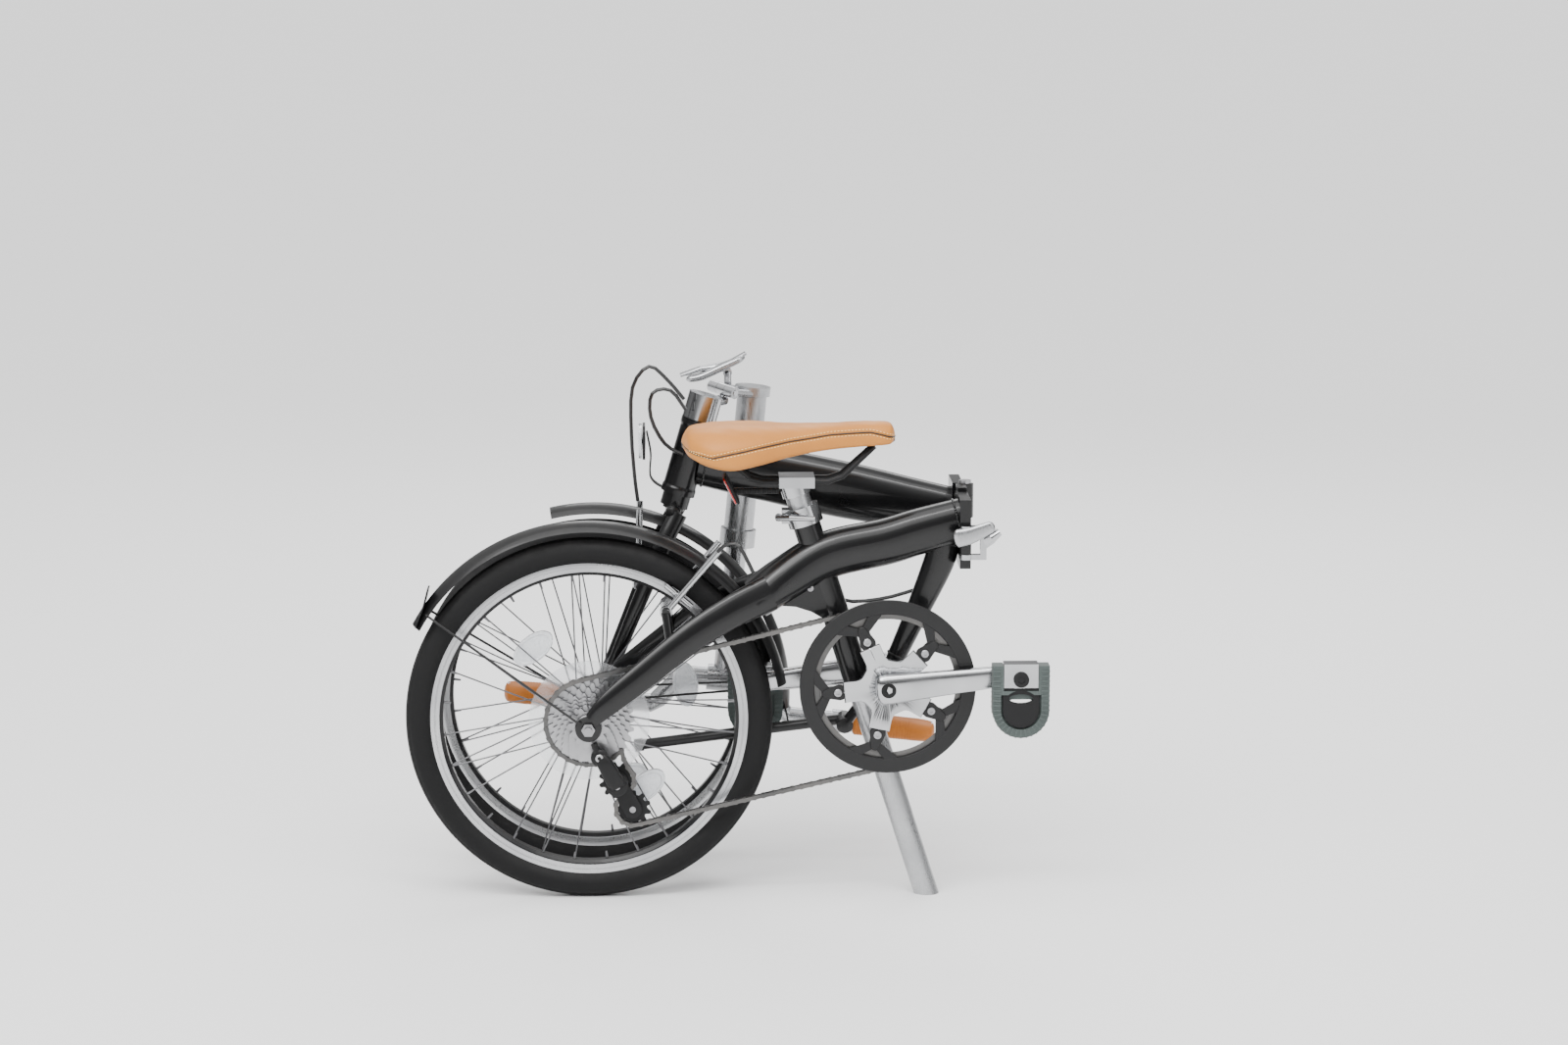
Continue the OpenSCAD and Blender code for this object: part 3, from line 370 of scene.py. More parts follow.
def finishMaterial(name, look):
    # one Principled finish; the look's words choose the colour, its second tone, marks, dust, lines and grain
    m = bpy.data.materials.new(name)
    m.use_nodes = True
    t = m.node_tree
    p = t.nodes["Principled BSDF"]
    place = t.nodes.new("ShaderNodeTexCoord").outputs["Object"]
    facing = t.nodes.new("ShaderNodeNewGeometry").outputs["Normal"]
    marks = useGroup(t, "marks", Place=place, Amount=look.get("marks", 0.3))
    mask, cloud = marks.outputs["Mask"], marks.outputs["Cloud"]
    colour = mixColour(t, rangeNode(t, cloud, 0.3, 0.7, 0.0, 1.0), look["colour"], look["second"])
    rough = rangeNode(t, cloud, 0.3, 0.7, *look["rough"])
    if look.get("cells"):
        cells = useGroup(t, "grain", Place=place, Scale=look["cells"])
        shade = rangeNode(t, cells.outputs["Cells"], 0.3, 1.0, 0.0, look["cellShade"])
        colour = mixColour(t, shade, colour, look["cellColour"])
        height = cells.outputs["Height"]
    elif look.get("stretch"):
        height = useGroup(t, "lines", Place=place, Stretch=look["stretch"]).outputs["Lines"]
        rough = mathNode(t, "ADD", rough, rangeNode(t, height, 0.3, 0.7, -0.08, 0.08), True)
    else:
        height = noiseNode(t, place, look.get("peel", 700.0), 2.0)
    colour = mixColour(t, mask, colour, look.get("worn", (0.4, 0.4, 0.4)))
    if look.get("dust"):
        dust = useGroup(t, "dust", Place=place, Normal=facing, Amount=look["dust"])
        colour = mixColour(t, dust.outputs["Mask"], colour, (0.55, 0.53, 0.5))
    wire(t, colour, p.inputs["Base Color"])
    wire(t, mathNode(t, "ADD", rough, mathNode(t, "MULTIPLY", mask, 0.2), True), p.inputs["Roughness"])
    for socket, word, plain in (("Metallic", "metal", 0.0), ("Coat Weight", "coat", 0.0),
                                ("Coat Roughness", "coatRough", 0.08), ("Sheen Weight", "sheen", 0.0),
                                ("Transmission Weight", "clear", 0.0), ("IOR", "ior", 1.45),
                                ("Specular IOR Level", "specular", 0.5)):
        p.inputs[socket].default_value = look.get(word, plain)
    bump = t.nodes.new("ShaderNodeBump")
    bump.inputs["Strength"].default_value = look.get("bump", 0.2)
    bump.inputs["Distance"].default_value = look.get("depth", 0.0002)
    wire(t, height, bump.inputs["Height"])
    wire(t, bump.outputs["Normal"], p.inputs["Normal"])
    return m


# each finish: two tones, roughness range, marks, dust, grain cells or stretched lines or paint peel per metre,
# the shade and colour between cells, bump strength and depth, and the tone of worn places
looks = {
    "blackPaint": {"colour": (0.0026, 0.0026, 0.0029), "second": (0.0040, 0.0040, 0.0044),
        "rough": (0.26, 0.34), "coat": 0.35, "specular": 0.3, "coatRough": 0.06, "marks": 0.06, "dust": 0.01,
        "bump": 0.06, "peel": 420.0, "worn": (0.04, 0.04, 0.04)},
    "satinPaint": {"colour": (0.0032, 0.0032, 0.0035), "second": (0.0055, 0.0055, 0.0060),
        "rough": (0.36, 0.46), "coat": 0.25, "marks": 0.15, "dust": 0.015, "bump": 0.1, "peel": 900.0,
        "specular": 0.3, "worn": (0.03, 0.03, 0.03)},
    "brushedAlloy": {"colour": (0.46, 0.465, 0.475), "second": (0.38, 0.385, 0.395), "rough": (0.24, 0.36),
        "metal": 1.0, "marks": 0.2, "bump": 0.12, "stretch": (900.0, 900.0, 40.0), "worn": (0.5, 0.5, 0.5)},
    "polishedAlloy": {"colour": (0.50, 0.505, 0.515), "second": (0.42, 0.425, 0.435), "rough": (0.12, 0.22),
        "metal": 1.0, "marks": 0.15, "bump": 0.06, "peel": 300.0, "worn": (0.55, 0.55, 0.55)},
    "brakeTrack": {"colour": (0.54, 0.545, 0.55), "second": (0.44, 0.445, 0.46), "rough": (0.26, 0.38),
        "metal": 1.0, "marks": 0.35, "bump": 0.15, "stretch": (500.0, 3000.0, 500.0), "worn": (0.3, 0.3, 0.3)},
    "steel": {"colour": (0.42, 0.42, 0.43), "second": (0.33, 0.33, 0.34), "rough": (0.28, 0.4), "metal": 1.0,
        "marks": 0.3, "bump": 0.1, "peel": 900.0, "worn": (0.2, 0.2, 0.2)},
    "darkSteel": {"colour": (0.09, 0.09, 0.09), "second": (0.16, 0.155, 0.15), "rough": (0.3, 0.45),
        "metal": 0.9, "marks": 0.4, "bump": 0.12, "peel": 1100.0, "worn": (0.3, 0.29, 0.27)},
    "spokeBlack": {"colour": (0.11, 0.11, 0.115), "second": (0.17, 0.17, 0.175), "rough": (0.26, 0.36),
        "metal": 0.9, "marks": 0.2, "bump": 0.05},
    "rubber": {"colour": (0.0050, 0.0050, 0.0054), "second": (0.0085, 0.0085, 0.0088), "rough": (0.62, 0.8),
        "marks": 0.25, "dust": 0.03, "cells": 900.0, "cellShade": 0.25, "cellColour": (0.012, 0.012, 0.012),
        "bump": 0.25, "depth": 0.0003, "worn": (0.02, 0.02, 0.02), "specular": 0.22},
    "blackPlastic": {"colour": (0.0045, 0.0045, 0.0050), "second": (0.0080, 0.0080, 0.0085),
        "rough": (0.38, 0.52), "marks": 0.2, "dust": 0.015, "cells": 1500.0, "cellShade": 0.2,
        "cellColour": (0.011, 0.011, 0.011), "bump": 0.12, "specular": 0.3, "worn": (0.03, 0.03, 0.03)},
    "pedalGrey": {"colour": (0.042, 0.055, 0.052), "second": (0.062, 0.078, 0.074), "rough": (0.5, 0.66),
        "marks": 0.5, "cells": 1300.0, "cellShade": 0.3, "cellColour": (0.09, 0.11, 0.105), "bump": 0.3,
        "dust": 0.04, "worn": (0.12, 0.13, 0.13)},
    "saddleHide": {"colour": (0.55, 0.215, 0.036), "second": (0.48, 0.180, 0.028), "rough": (0.42, 0.55),
        "marks": 0.12, "cells": 520.0, "cellShade": 0.22, "cellColour": (0.41, 0.160, 0.028), "bump": 0.22,
        "depth": 0.0004, "sheen": 0.04, "worn": (0.60, 0.27, 0.06), "specular": 0.35},
    "gripHide": {"colour": (0.47, 0.150, 0.020), "second": (0.39, 0.118, 0.015), "rough": (0.45, 0.6),
        "marks": 0.2, "cells": 700.0, "cellShade": 0.3, "cellColour": (0.27, 0.080, 0.010), "bump": 0.3,
        "depth": 0.0004, "sheen": 0.03, "worn": (0.52, 0.20, 0.04), "specular": 0.3},
    "thread": {"colour": (0.93, 0.66, 0.30), "second": (0.84, 0.56, 0.22), "rough": (0.6, 0.75), "marks": 0.1,
        "bump": 0.4, "stretch": (2500.0, 2500.0, 2500.0)},
    "cableSkin": {"colour": (0.0040, 0.0040, 0.0044), "second": (0.0070, 0.0070, 0.0075), "rough": (0.3, 0.42),
        "marks": 0.15, "coat": 0.2, "bump": 0.15, "peel": 1500.0, "worn": (0.03, 0.03, 0.03)},
    "redLens": {"colour": (0.62, 0.012, 0.010), "second": (0.48, 0.006, 0.006), "rough": (0.12, 0.2),
        "coat": 0.9, "marks": 0.05, "cells": 420.0, "cellShade": 0.6, "cellColour": (0.25, 0.0, 0.0),
        "bump": 0.5, "depth": 0.0006},
    "clearLens": {"colour": (0.86, 0.88, 0.90), "second": (0.78, 0.80, 0.83), "rough": (0.1, 0.2), "coat": 0.8,
        "marks": 0.05, "cells": 380.0, "cellShade": 0.5, "cellColour": (0.6, 0.63, 0.67), "bump": 0.6,
        "depth": 0.0008, "clear": 0.35},
    "clearPlastic": {"colour": (0.95, 0.96, 0.97), "second": (0.90, 0.91, 0.93), "rough": (0.06, 0.14),
        "marks": 0.1, "bump": 0.05, "clear": 0.92, "ior": 1.49},
    "brakeRubber": {"colour": (0.02, 0.02, 0.02), "second": (0.03, 0.03, 0.03), "rough": (0.7, 0.85),
        "marks": 0.3, "bump": 0.3, "peel": 1400.0},
}
finish = {name: finishMaterial(name, look) for name, look in looks.items()}
print("finishes made:", len(finish))


def makeFloor():
    # one flat square at z = 0, wide enough to fill the picture, in a pale paint with very faint cloudiness
    m = bpy.data.materials.new("paleFloor")
    m.use_nodes = True
    t = m.node_tree
    p = t.nodes["Principled BSDF"]
    cloud = noiseNode(t, t.nodes.new("ShaderNodeTexCoord").outputs["Object"], 1.4, 4.0)
    base = studio["floorColour"]
    wire(t, mixColour(t, cloud, base, tuple(studio["floorCloud"] * c for c in base)), p.inputs["Base Color"])
    p.inputs["Roughness"].default_value = studio["floorRough"]
    half = studio["floor"]
    mesh = bpy.data.meshes.new("floor")
    mesh.from_pydata([(-half, -half, 0), (half, -half, 0), (half, half, 0), (-half, half, 0)], [], [(0, 1, 2, 3)])
    mesh.shade_smooth()
    mesh.materials.append(m)
    placed("floor", mesh, (0, 0, 0))


makeFloor()

# the finish of every piece that comes from the CAD; those replaced below keep theirs unseen
nodeFinish = {
    "blackPaint": ["rear_beam", "front_beam", "right_stay", "left_stay", "seat_tube", "bottom_bracket_shell",
        "hinge_strut", "head_tube", "fork", "rear_hinge_plate", "front_hinge_plate"],
    "satinPaint": ["rear_fender", "front_fender", "kickstand_leg", "chain_guard"],
    "brushedAlloy": ["seatpost", "handlepost", "mast", "handlebar"],
    "polishedAlloy": ["saddle_clamp", "seat_collar", "seat_clamp_lever", "post_hinge_base", "post_latch_lever",
        "frame_latch_lever", "right_crank", "left_crank", "rear_brake_right_arm", "rear_brake_left_arm",
        "front_brake_near_arm", "front_brake_far_arm", "right_pedal_block", "left_pedal_block"],
    "brakeTrack": ["rear_rim", "front_rim"],
    "steel": ["main_hinge_pin", "rear_axle", "rear_hub", "front_hub", "crank_axle", "cassette"],
    "darkSteel": ["chain", "chainring"],
    "spokeBlack": ["rear_spokes", "front_spokes"],
    "rubber": ["rear_tyre", "front_tyre"],
    "blackPlastic": ["derailleur", "guide_pulley", "tension_pulley", "front_brake_lever", "rear_brake_lever",
        "saddle_rails"],
    "pedalGrey": ["right_pedal", "left_pedal"],
    "saddleHide": ["saddle"],
    "gripHide": ["grips"],
    "cableSkin": ["rear_cables", "front_cables"],
    "redLens": ["tail_reflector"],
}
for look, names in nodeFinish.items():
    for name in names:
        slots = nodes[name].data.materials
        if not len(slots):
            slots.append(None)  # a node without a slot gets one
        for k in range(len(slots)):
            slots[k] = finish[look]
print("CAD pieces finished")


def toPart(points):
    # millimetres from the rear wheel's middle line to metres in the part's place: (x - 177, y - 73, z) / 1000
    return (np.asarray(points, float) - (177.0, 73.0, 0.0)) / 1000


axleZ = 240.0


def fromAxle(rows):
    # the same for points whose z is counted from the axles
    return toPart(np.asarray(rows, float) + (0, 0, axleZ))


# each tube's line in mm, z counted from the axles, with its half width, half height and superellipse power
rearTube = {"at": [(488, 0, 260.5), (430, 0, 245), (387, 0, 232), (312, 0, 215), (255, 0, 183), (218, 0, 158)],
            "wide": [21, 22, 23, 25, 31, 42], "high": [29, 30, 30.5, 31, 29, 26], "power": 2.35}
frontTube = {"at": [(488, 140, 249), (430, 140, 259), (337, 140, 278), (240, 140, 299), (146, 140, 318.4)],
             "wide": [20, 21, 22, 21.5, 19.2], "high": [30, 34, 38, 37, 33.2], "power": 2.35}
strutTube = {"at": [(466, 0, 238), (455, 0, 200), (425, 0, 130), (398, 0, 70)], "wide": [13, 13, 12, 11],
             "high": [21, 20, 15, 12], "power": 2.2}
stayTube = {"x": [236, 190, 138, 74, 27, 4], "side": [26, 40, 52, 62, 70, 72],
            "rise": [170, 150, 120, 71, 34, 12], "wide": [10, 9, 8, 7, 5, 4], "high": [24, 22, 20, 18, 15, 10]}
forkBlade = {"at": [(118, 37, 253), (94, 45.5, 205), (62, 46.5, 128), (19, 41.5, 24), (8, 40.5, 8)],
             "wide": [9, 8, 8, 5, 3], "high": [12, 12, 10, 8, 8]}


def loft(tube, count=90, sides=56):
    # rings along the smooth curve through a tube's rows
    rows = np.hstack([np.asarray(tube["at"], float), np.c_[tube["wide"], tube["high"]]])
    rows[:, 2] += axleZ
    s = splineThrough(rows, count)
    return sweepGrid(toPart(s[:, :3]), s[:, 3] / 1000, s[:, 4] / 1000, (0, 1, 0), sides, tube["power"])


def beadPart(grid, row, radius=0.0014):
    # a weld bead: a thin tube that follows one ring of a loft, rippled as the weld pools
    ring = grid[row]
    n = 240
    k = np.linspace(0, len(ring), n, endpoint=False)
    rounds = np.vstack([ring, ring[:1]])
    around = np.stack([np.interp(k, np.arange(len(rounds)), rounds[:, c]) for c in range(3)], 1)
    ripple = radius * (1 + 0.18 * np.sin(np.arange(n) * 2 * np.pi / 5))
    g = sweepGrid(around, ripple, ripple, (0, 0.3, 1), 8, closed=True)
    return g.reshape(-1, 3), gridFaces(n, 8, True, True)


rearGrid, frontGrid, strutGrid = loft(rearTube), loft(frontTube), loft(strutTube, 50, 40)
for name, grid, body, node in (("rearBeam", rearGrid, "rear_frame", "rear_beam"),
                               ("frontBeam", frontGrid, "front_frame", "front_beam"),
                               ("hingeStrut", strutGrid, "rear_frame", "hinge_strut")):
    makeMesh(name, tubeGrid(grid), body, "blackPaint", [node])
for name, body, rings in (("rearWelds", "rear_frame", ((rearGrid, 2), (strutGrid, 3), (strutGrid, 46))),
                          ("frontWelds", "front_frame", ((frontGrid, 2), (frontGrid, 87)))):
    makeMesh(name, joined([beadPart(grid, row) for grid, row in rings]), body, "blackPaint")
dropout = {"at": toPart([0, 0, axleZ]), "radius": 0.017, "from": 0.065, "to": 0.070, "bevel": 0.0008}
for side, word in ((-1, "right"), (1, "left")):
    stay = {"at": [(x, side * y, z) for x, y, z in zip(stayTube["x"], stayTube["side"], stayTube["rise"])],
            "wide": stayTube["wide"], "high": stayTube["high"], "power": 2.2}
    dropAt, a = dropout["at"], fullTurn(48)
    y0, y1 = sorted((side * dropout["from"], side * dropout["to"]))
    tab = np.stack([dropAt[0] + dropout["radius"] * np.cos(a), dropAt[2] + dropout["radius"] * np.sin(a)], 1)
    shoe = platePart(tab, dropAt[1] + y0, dropAt[1] + y1, dropout["bevel"])
    boss = tubePart(fromAxle([(108, side * 54, 98), (101, side * 43, 146)]), 0.006, 8, 24)
    cap = tubePart(fromAxle([(101, side * 36, 146), (101, side * 46, 146)]), 0.006, 6, 24, (0, 0, 1))
    makeMesh(word + "Stay", joined([tubeGrid(loft(stay, 70, 40)), shoe, boss, cap]), "rear_frame", "blackPaint",
             [word + "_stay"])


def straightTube(a, b, radius, n=40, sides=48):
    # a straight round tube; its radius is one number, or the places 0..1 and the radii there
    t = np.linspace(0, 1, n)[:, None]
    r = np.interp(t[:, 0], *radius) if isinstance(radius, tuple) else np.full(n, radius)
    return tubeGrid(sweepGrid(np.asarray(a) * (1 - t) + np.asarray(b) * t, r, r, (0, 1, 0), sides))


# the steering axis in the part's place, from where the handlepost folds
lean = math.radians(16.3)
steerAt = toPart([36.5 + 408 * math.tan(lean), 140, 648])
steerWay = np.array([math.sin(lean), 0, math.cos(lean)])


def onSteer(s):
    # the point s mm up the steering axis
    return steerAt + s / 1000 * steerWay


headTube = {"from": -139.0, "to": -36.0, "radius": ([0, 0.08, 0.1, 0.9, 0.92, 1],
                                                    [0.0232, 0.0232, 0.022, 0.022, 0.0232, 0.0232])}
makeMesh("headTube", straightTube(onSteer(headTube["from"]), onSteer(headTube["to"]), headTube["radius"], 60, 56),
         "front_frame", "blackPaint", ["head_tube"])
fork = {"crown": -161, "crownHalf": 0.046, "crownRadius": 0.0105, "tab": 0.013, "tabAt": 0.037, "tabThick": 0.005,
        "axleRadius": 0.005, "axleHalf": 0.0476, "nut": 0.0085, "nutFrom": 0.0421, "nutTo": 0.0469}
frontHub = toPart([5, 140, axleZ])
forkParts = []
for s in (-1, 1):
    line = splineThrough([(x, 140 + s * y, z + axleZ) for x, y, z in forkBlade["at"]], 60)
    w, h = (np.interp(np.linspace(0, 4, 60), range(5), forkBlade[key]) / 1000 for key in ("wide", "high"))
    forkParts.append(tubeGrid(sweepGrid(toPart(line), w, h, (0, 1, 0), 36)))
crown, crownSide = onSteer(fork["crown"]), np.array((0, fork["crownHalf"], 0))
forkParts.append(tubePart([crown - crownSide, crown + crownSide], fork["crownRadius"], 30, 32, (0, 0, 1), 0.08))
forkParts.append(straightTube(crown + 0.004 * steerWay, onSteer(-139.4), 0.019, 12, 48))
forkParts.append(straightTube(crown, onSteer(-30), 0.0143, 12, 32))
axleHalf = fork["axleHalf"]
axleParts = [roundPart(frontHub, fork["axleRadius"], frontHub[1] - axleHalf, frontHub[1] + axleHalf, 24)]
for s in (-1, 1):
    hubY = frontHub[1] + s * fork["tabAt"]
    forkParts.append(roundPart(frontHub, fork["tab"], *sorted((hubY, hubY + s * fork["tabThick"]))))
    boss = toPart([(64, 140 + s * 37.4, 398), (64, 140 + s * 42, 398)])
    forkParts.append(tubePart(boss, 0.006, 6, 24, (0, 0, 1)))
    a = fullTurn(6)
    nut = np.stack([frontHub[0] + fork["nut"] * np.cos(a), frontHub[2] + fork["nut"] * np.sin(a)], 1)
    y0, y1 = sorted((frontHub[1] + s * fork["nutFrom"], frontHub[1] + s * fork["nutTo"]))
    axleParts.append(platePart(nut, y0, y1))
makeMesh("forkBlades", joined(forkParts), "steering_fork", "blackPaint", ["fork"])
makeMesh("frontAxleNuts", joined(axleParts), "steering_fork", "steel")
print("frame tubes made")

tyre = {"outer": 0.240, "half": 0.0185, "around": 720, "section": 44, "grooves": 0.0011, "blocks": 90}
rim = {"outer": 0.210, "inner": 0.191, "half": 0.012}


def tyrePart(centre):
    # a round section turned about the axle: ((R + r cos b) cos a, r sin b, (R + r cos b) sin a), where r is less
    # in the two ribs' grooves, in the slanting cuts between the blocks and in two fine lines on the walls
    a = fullTurn(tyre["around"])[:, None]
    b = np.linspace(-np.pi, np.pi, tyre["section"], endpoint=False)[None, :]
    band = np.exp(-((np.abs(b) - 0.32) / 0.05) ** 2) + np.exp(-((np.abs(b) - 0.72) / 0.05) ** 2)
    slant = np.cos(tyre["blocks"] * a + 5.0 * np.abs(b))
    cut = (np.abs(b) > 0.36) * (np.abs(b) < 0.95) * np.clip((slant - 0.86) * 8, 0, 1)
    wall = 0.35 * np.exp(-((np.abs(b) - 1.25) / 0.025) ** 2) + 0.35 * np.exp(-((np.abs(b) - 1.95) / 0.03) ** 2)
    r = tyre["half"] - tyre["grooves"] * np.clip(band + 0.8 * cut, 0, 1) - 0.0007 * wall
    big = tyre["outer"] - tyre["half"] + r * np.cos(b)
    y = np.broadcast_to(r * np.sin(b), big.shape)
    grid = np.stack([big * np.cos(a), y, big * np.sin(a)], -1) + np.asarray(centre)
    return grid.reshape(-1, 3), gridFaces(tyre["around"], tyre["section"], True, True)


def rimParts(centre):
    # turned profiles: a brake track on each side, grooved where it wears, and the well between them
    h, o, i = rim["half"], rim["outer"], rim["inner"]
    tracks = []
    for s in (-1, 1):
        rows = [(o - 0.0145, h - 0.0006), (o - 0.0140, h), (o - 0.0092, h), (o - 0.0088, h - 0.0006),
                (o - 0.0080, h - 0.0006), (o - 0.0076, h), (o - 0.0016, h), (o, h - 0.0006), (o, h - 0.0024),
                (o - 0.0145, h - 0.0024)]
        rows = [(r, s * y) for r, y in rows]
        tracks.append(revolved(rows[::-1] if s > 0 else rows, centre, 200))
    well = [(i, -0.006), (i - 0.0002, 0.0), (i, 0.006), (i + 0.004, h - 0.0035), (o - 0.0146, h - 0.0009),
            (o - 0.004, h - 0.0025), (o - 0.006, 0.0), (o - 0.004, 0.0025 - h), (o - 0.0146, 0.0009 - h),
            (i + 0.004, 0.0035 - h)]
    return joined(tracks), revolved(well[::-1], centre, 200)


def nipplesPart(centre, count=28):
    # small brass nipples where the spokes meet the rim
    parts = []
    for k in range(count):
        q = 2 * np.pi * (k + 0.5) / count
        way = np.array([math.cos(q), 0, math.sin(q)])
        at = np.asarray(centre) + way * 0.1912 + (0, 0.002 * (1 if k % 2 else -1), 0)
        parts.append(tubePart([at - way * 0.009, at], [0.0013, 0.0019], 6, 8, (0, 1, 0.01)))
    return joined(parts)


rearAxleAt, frontAxleAt = middle("rear_tyre"), middle("front_tyre")
for word, at in (("rear", rearAxleAt), ("front", frontAxleAt)):
    body = word + "_wheel"
    makeMesh(word + "Tyre", tyrePart(at), body, "rubber", [word + "_tyre"], 60)
    track, well = rimParts(at)
    makeMesh(word + "BrakeTrack", track, body, "brakeTrack", [word + "_rim"])
    makeMesh(word + "RimWell", well, body, "satinPaint")
    makeMesh(word + "Nipples", nipplesPart(at), body, "spokeBlack")
print("wheels made")


def lensPart(centre, angle, reach, size=(0.030, 0.017), thick=0.0035):
    # an oval reflector across the spokes: an ellipse with a raised rim and a cell-patterned face
    mid = np.asarray(centre) + reach * np.array([math.cos(angle), 0, math.sin(angle)])
    t = fullTurn(64)
    rows = []
    for scale, y in ((0.02, -0.8), (0.80, -0.8), (0.84, -1.25), (0.97, -1.25), (1.0, -1.0), (1.0, 1.0),
                     (0.97, 1.25), (0.84, 1.25), (0.80, 0.8), (0.02, 0.8)):
        u, w = scale * size[0] * np.cos(t), scale * size[1] * np.sin(t)
        c, s = math.cos(angle + math.pi / 2), math.sin(angle + math.pi / 2)
        level = np.full(64, mid[1] + y * thick)
        rows.append(np.stack([mid[0] + u * c - w * s, level, mid[2] + u * s + w * c], 1))
    return tubeGrid(np.stack(rows))


for word, at, angles, reach in (("rear", rearAxleAt, (128, 308), 0.118), ("front", frontAxleAt, (6, 290), 0.122)):
    lenses = joined([lensPart(at, math.radians(q), reach) for q in angles])
    makeMesh(word + "WheelLenses", lenses, word + "_wheel", "clearLens")
# the clear disc behind the sprockets: radius and y of its thin dished section
disc = [(0.0215, -0.0222), (0.060, -0.0206), (0.0765, -0.0182), (0.079, -0.0176), (0.079, -0.0164),
        (0.0765, -0.0170), (0.060, -0.0194), (0.0215, -0.0210)]
makeMesh("spokeGuardDisc", revolved(disc, rearAxleAt, 120), "rear_wheel", "clearPlastic")
print("wheel trim made")

# the drive: the tooth counts are whole, so every toothed wheel's radius follows from the chain's pitch
bb = toPart([388, 0, axleZ + 50])
crankTilt = math.radians(6.4)
crankWay = np.array([math.cos(crankTilt), 0, math.sin(crankTilt)])
drive = {"pitch": 0.0127, "ringTeeth": 52, "rearTeeth": [28, 25, 22, 19, 17, 15, 13, 12], "pulleyTeeth": 11,
         "ringY": -0.046, "rearY": -0.027, "boltCircle": 0.065, "guardOuter": 0.1145, "guardInner": 0.0955,
         "crank": 0.170, "sprocketStep": 0.0046, "sprocketHalf": 0.0009}
pitch, sideY = drive["pitch"], float(bb[1])


def wheelRadius(teeth):
    # the radius through the chain's pins: pitch / (2 sin(pi / teeth))
    return pitch / (2 * math.sin(math.pi / teeth))


toothCounts = drive["ringTeeth"], drive["rearTeeth"][0], drive["pulleyTeeth"]
ringR, rearR, pulleyR = (wheelRadius(teeth) for teeth in toothCounts)
guideAt, tensionAt = toPart([36, 0, axleZ - 78]), toPart([56, 0, axleZ - 116])  # the two pulleys' axles
rearAt = toPart([0, 0, axleZ])
runLength = float(np.linalg.norm(bb - rearAt))
topTurn = math.radians(90) + math.atan(50 / 388) + math.asin((ringR - rearR) / runLength)


def arcPoints(at, y, r, a0, a1, n):
    # n + 1 points of a circle of radius r about at, from angle a0 to a1, at y from the middle line
    a = np.linspace(a0, a1, n + 1)
    return np.stack([at[0] + r * np.cos(a), np.full(n + 1, sideY + y), at[2] + r * np.sin(a)], 1)


def alongLoop(points, count):
    # count places evenly spaced round a closed line
    p = np.vstack([points, points[:1]])
    d = np.concatenate([[0], np.cumsum(np.linalg.norm(np.diff(p, axis=0), axis=1))])
    s = np.linspace(0, d[-1], count, endpoint=False)
    return np.stack([np.interp(s, d, p[:, k]) for k in range(3)], 1), d[-1]


# the chain's loop: over the ring, round both pulleys and over the largest sprocket
rad = math.radians
loop = np.vstack([arcPoints(bb, drive["ringY"], ringR, topTurn, rad(-78), 180),
                  arcPoints(tensionAt, drive["rearY"], pulleyR, rad(-82), rad(-225), 40),
                  arcPoints(guideAt, drive["rearY"], pulleyR, rad(-52), rad(62), 40),
                  arcPoints(rearAt, drive["rearY"], rearR, rad(-42), topTurn - 2 * math.pi, 120)])
_, loopLength = alongLoop(loop, 10)
linkCount = 2 * round(loopLength / pitch / 2)
pins, _ = alongLoop(loop, linkCount)


# a link: its plates' sides, reach past the pin, half height, waist, the gaps between inner and outer plates, the
# plates' thickness, and the roller and the pin by radius and half length
link = {"sides": 18, "reach": 0.0036, "high": 0.0037, "waist": 0.0011, "gaps": (0.0034, 0.0023), "plate": 0.0010,
        "rounds": ((0.0038, 0.0022), (0.0017, 0.0050)), "roundSides": 8}


def chainParts():
    # each link is two plates with round ends and a waist, wider apart on every other link, with a roller and a
    # pin at its joint; a plate's edge is reach cos t along the link and high sin t across it
    nxt = np.roll(pins, -1, 0)
    way, long = unitRows(nxt - pins), np.linalg.norm(nxt - pins, axis=1)
    up = unitRows(np.cross(way, (0, 1, 0)))
    t, q = fullTurn(link["sides"]), fullTurn(link["roundSides"])
    along = np.where(np.cos(t) > 0, 1.0, 0.0) + link["reach"] / pitch * np.cos(t)
    high = np.sin(t) * (link["high"] - link["waist"] * (np.abs(np.cos(t)) < 0.3))
    gapY = np.where(np.arange(linkCount) % 2 == 0, *link["gaps"])
    reach = (way * long[:, None])[:, None]
    plate = pins[:, None] + along[None, :, None] * reach + high[None, :, None] * up[:, None]
    disc = np.cos(q)[None, :, None] * way[:, None] + np.sin(q)[None, :, None] * up[:, None]
    solids = [(plate, -gapY, -gapY - link["plate"], True), (plate, gapY, gapY + link["plate"], False)]
    solids += [(pins[:, None] + r * disc, np.full(linkCount, -y), np.full(linkCount, y), False)
               for r, y in link["rounds"]]
    parts = []
    for outline, low, top, turned in solids:
        n = outline.shape[1]
        pair = np.concatenate([outline, outline], 1)
        pair[:, :n, 1] += low[:, None]
        pair[:, n:, 1] += top[:, None]
        one = [list(range(n))[::-1], list(range(n, 2 * n))]
        one += [[k, (k + 1) % n, n + (k + 1) % n, n + k] for k in range(n)]
        one = [face[::-1] for face in one] if turned else one
        parts.append((pair, [[k + 2 * n * step for k in face] for step in range(linkCount) for face in one]))
    return joined(parts)


makeMesh("chainLinks", chainParts(), "rear_frame", "darkSteel", ["chain"], 30)


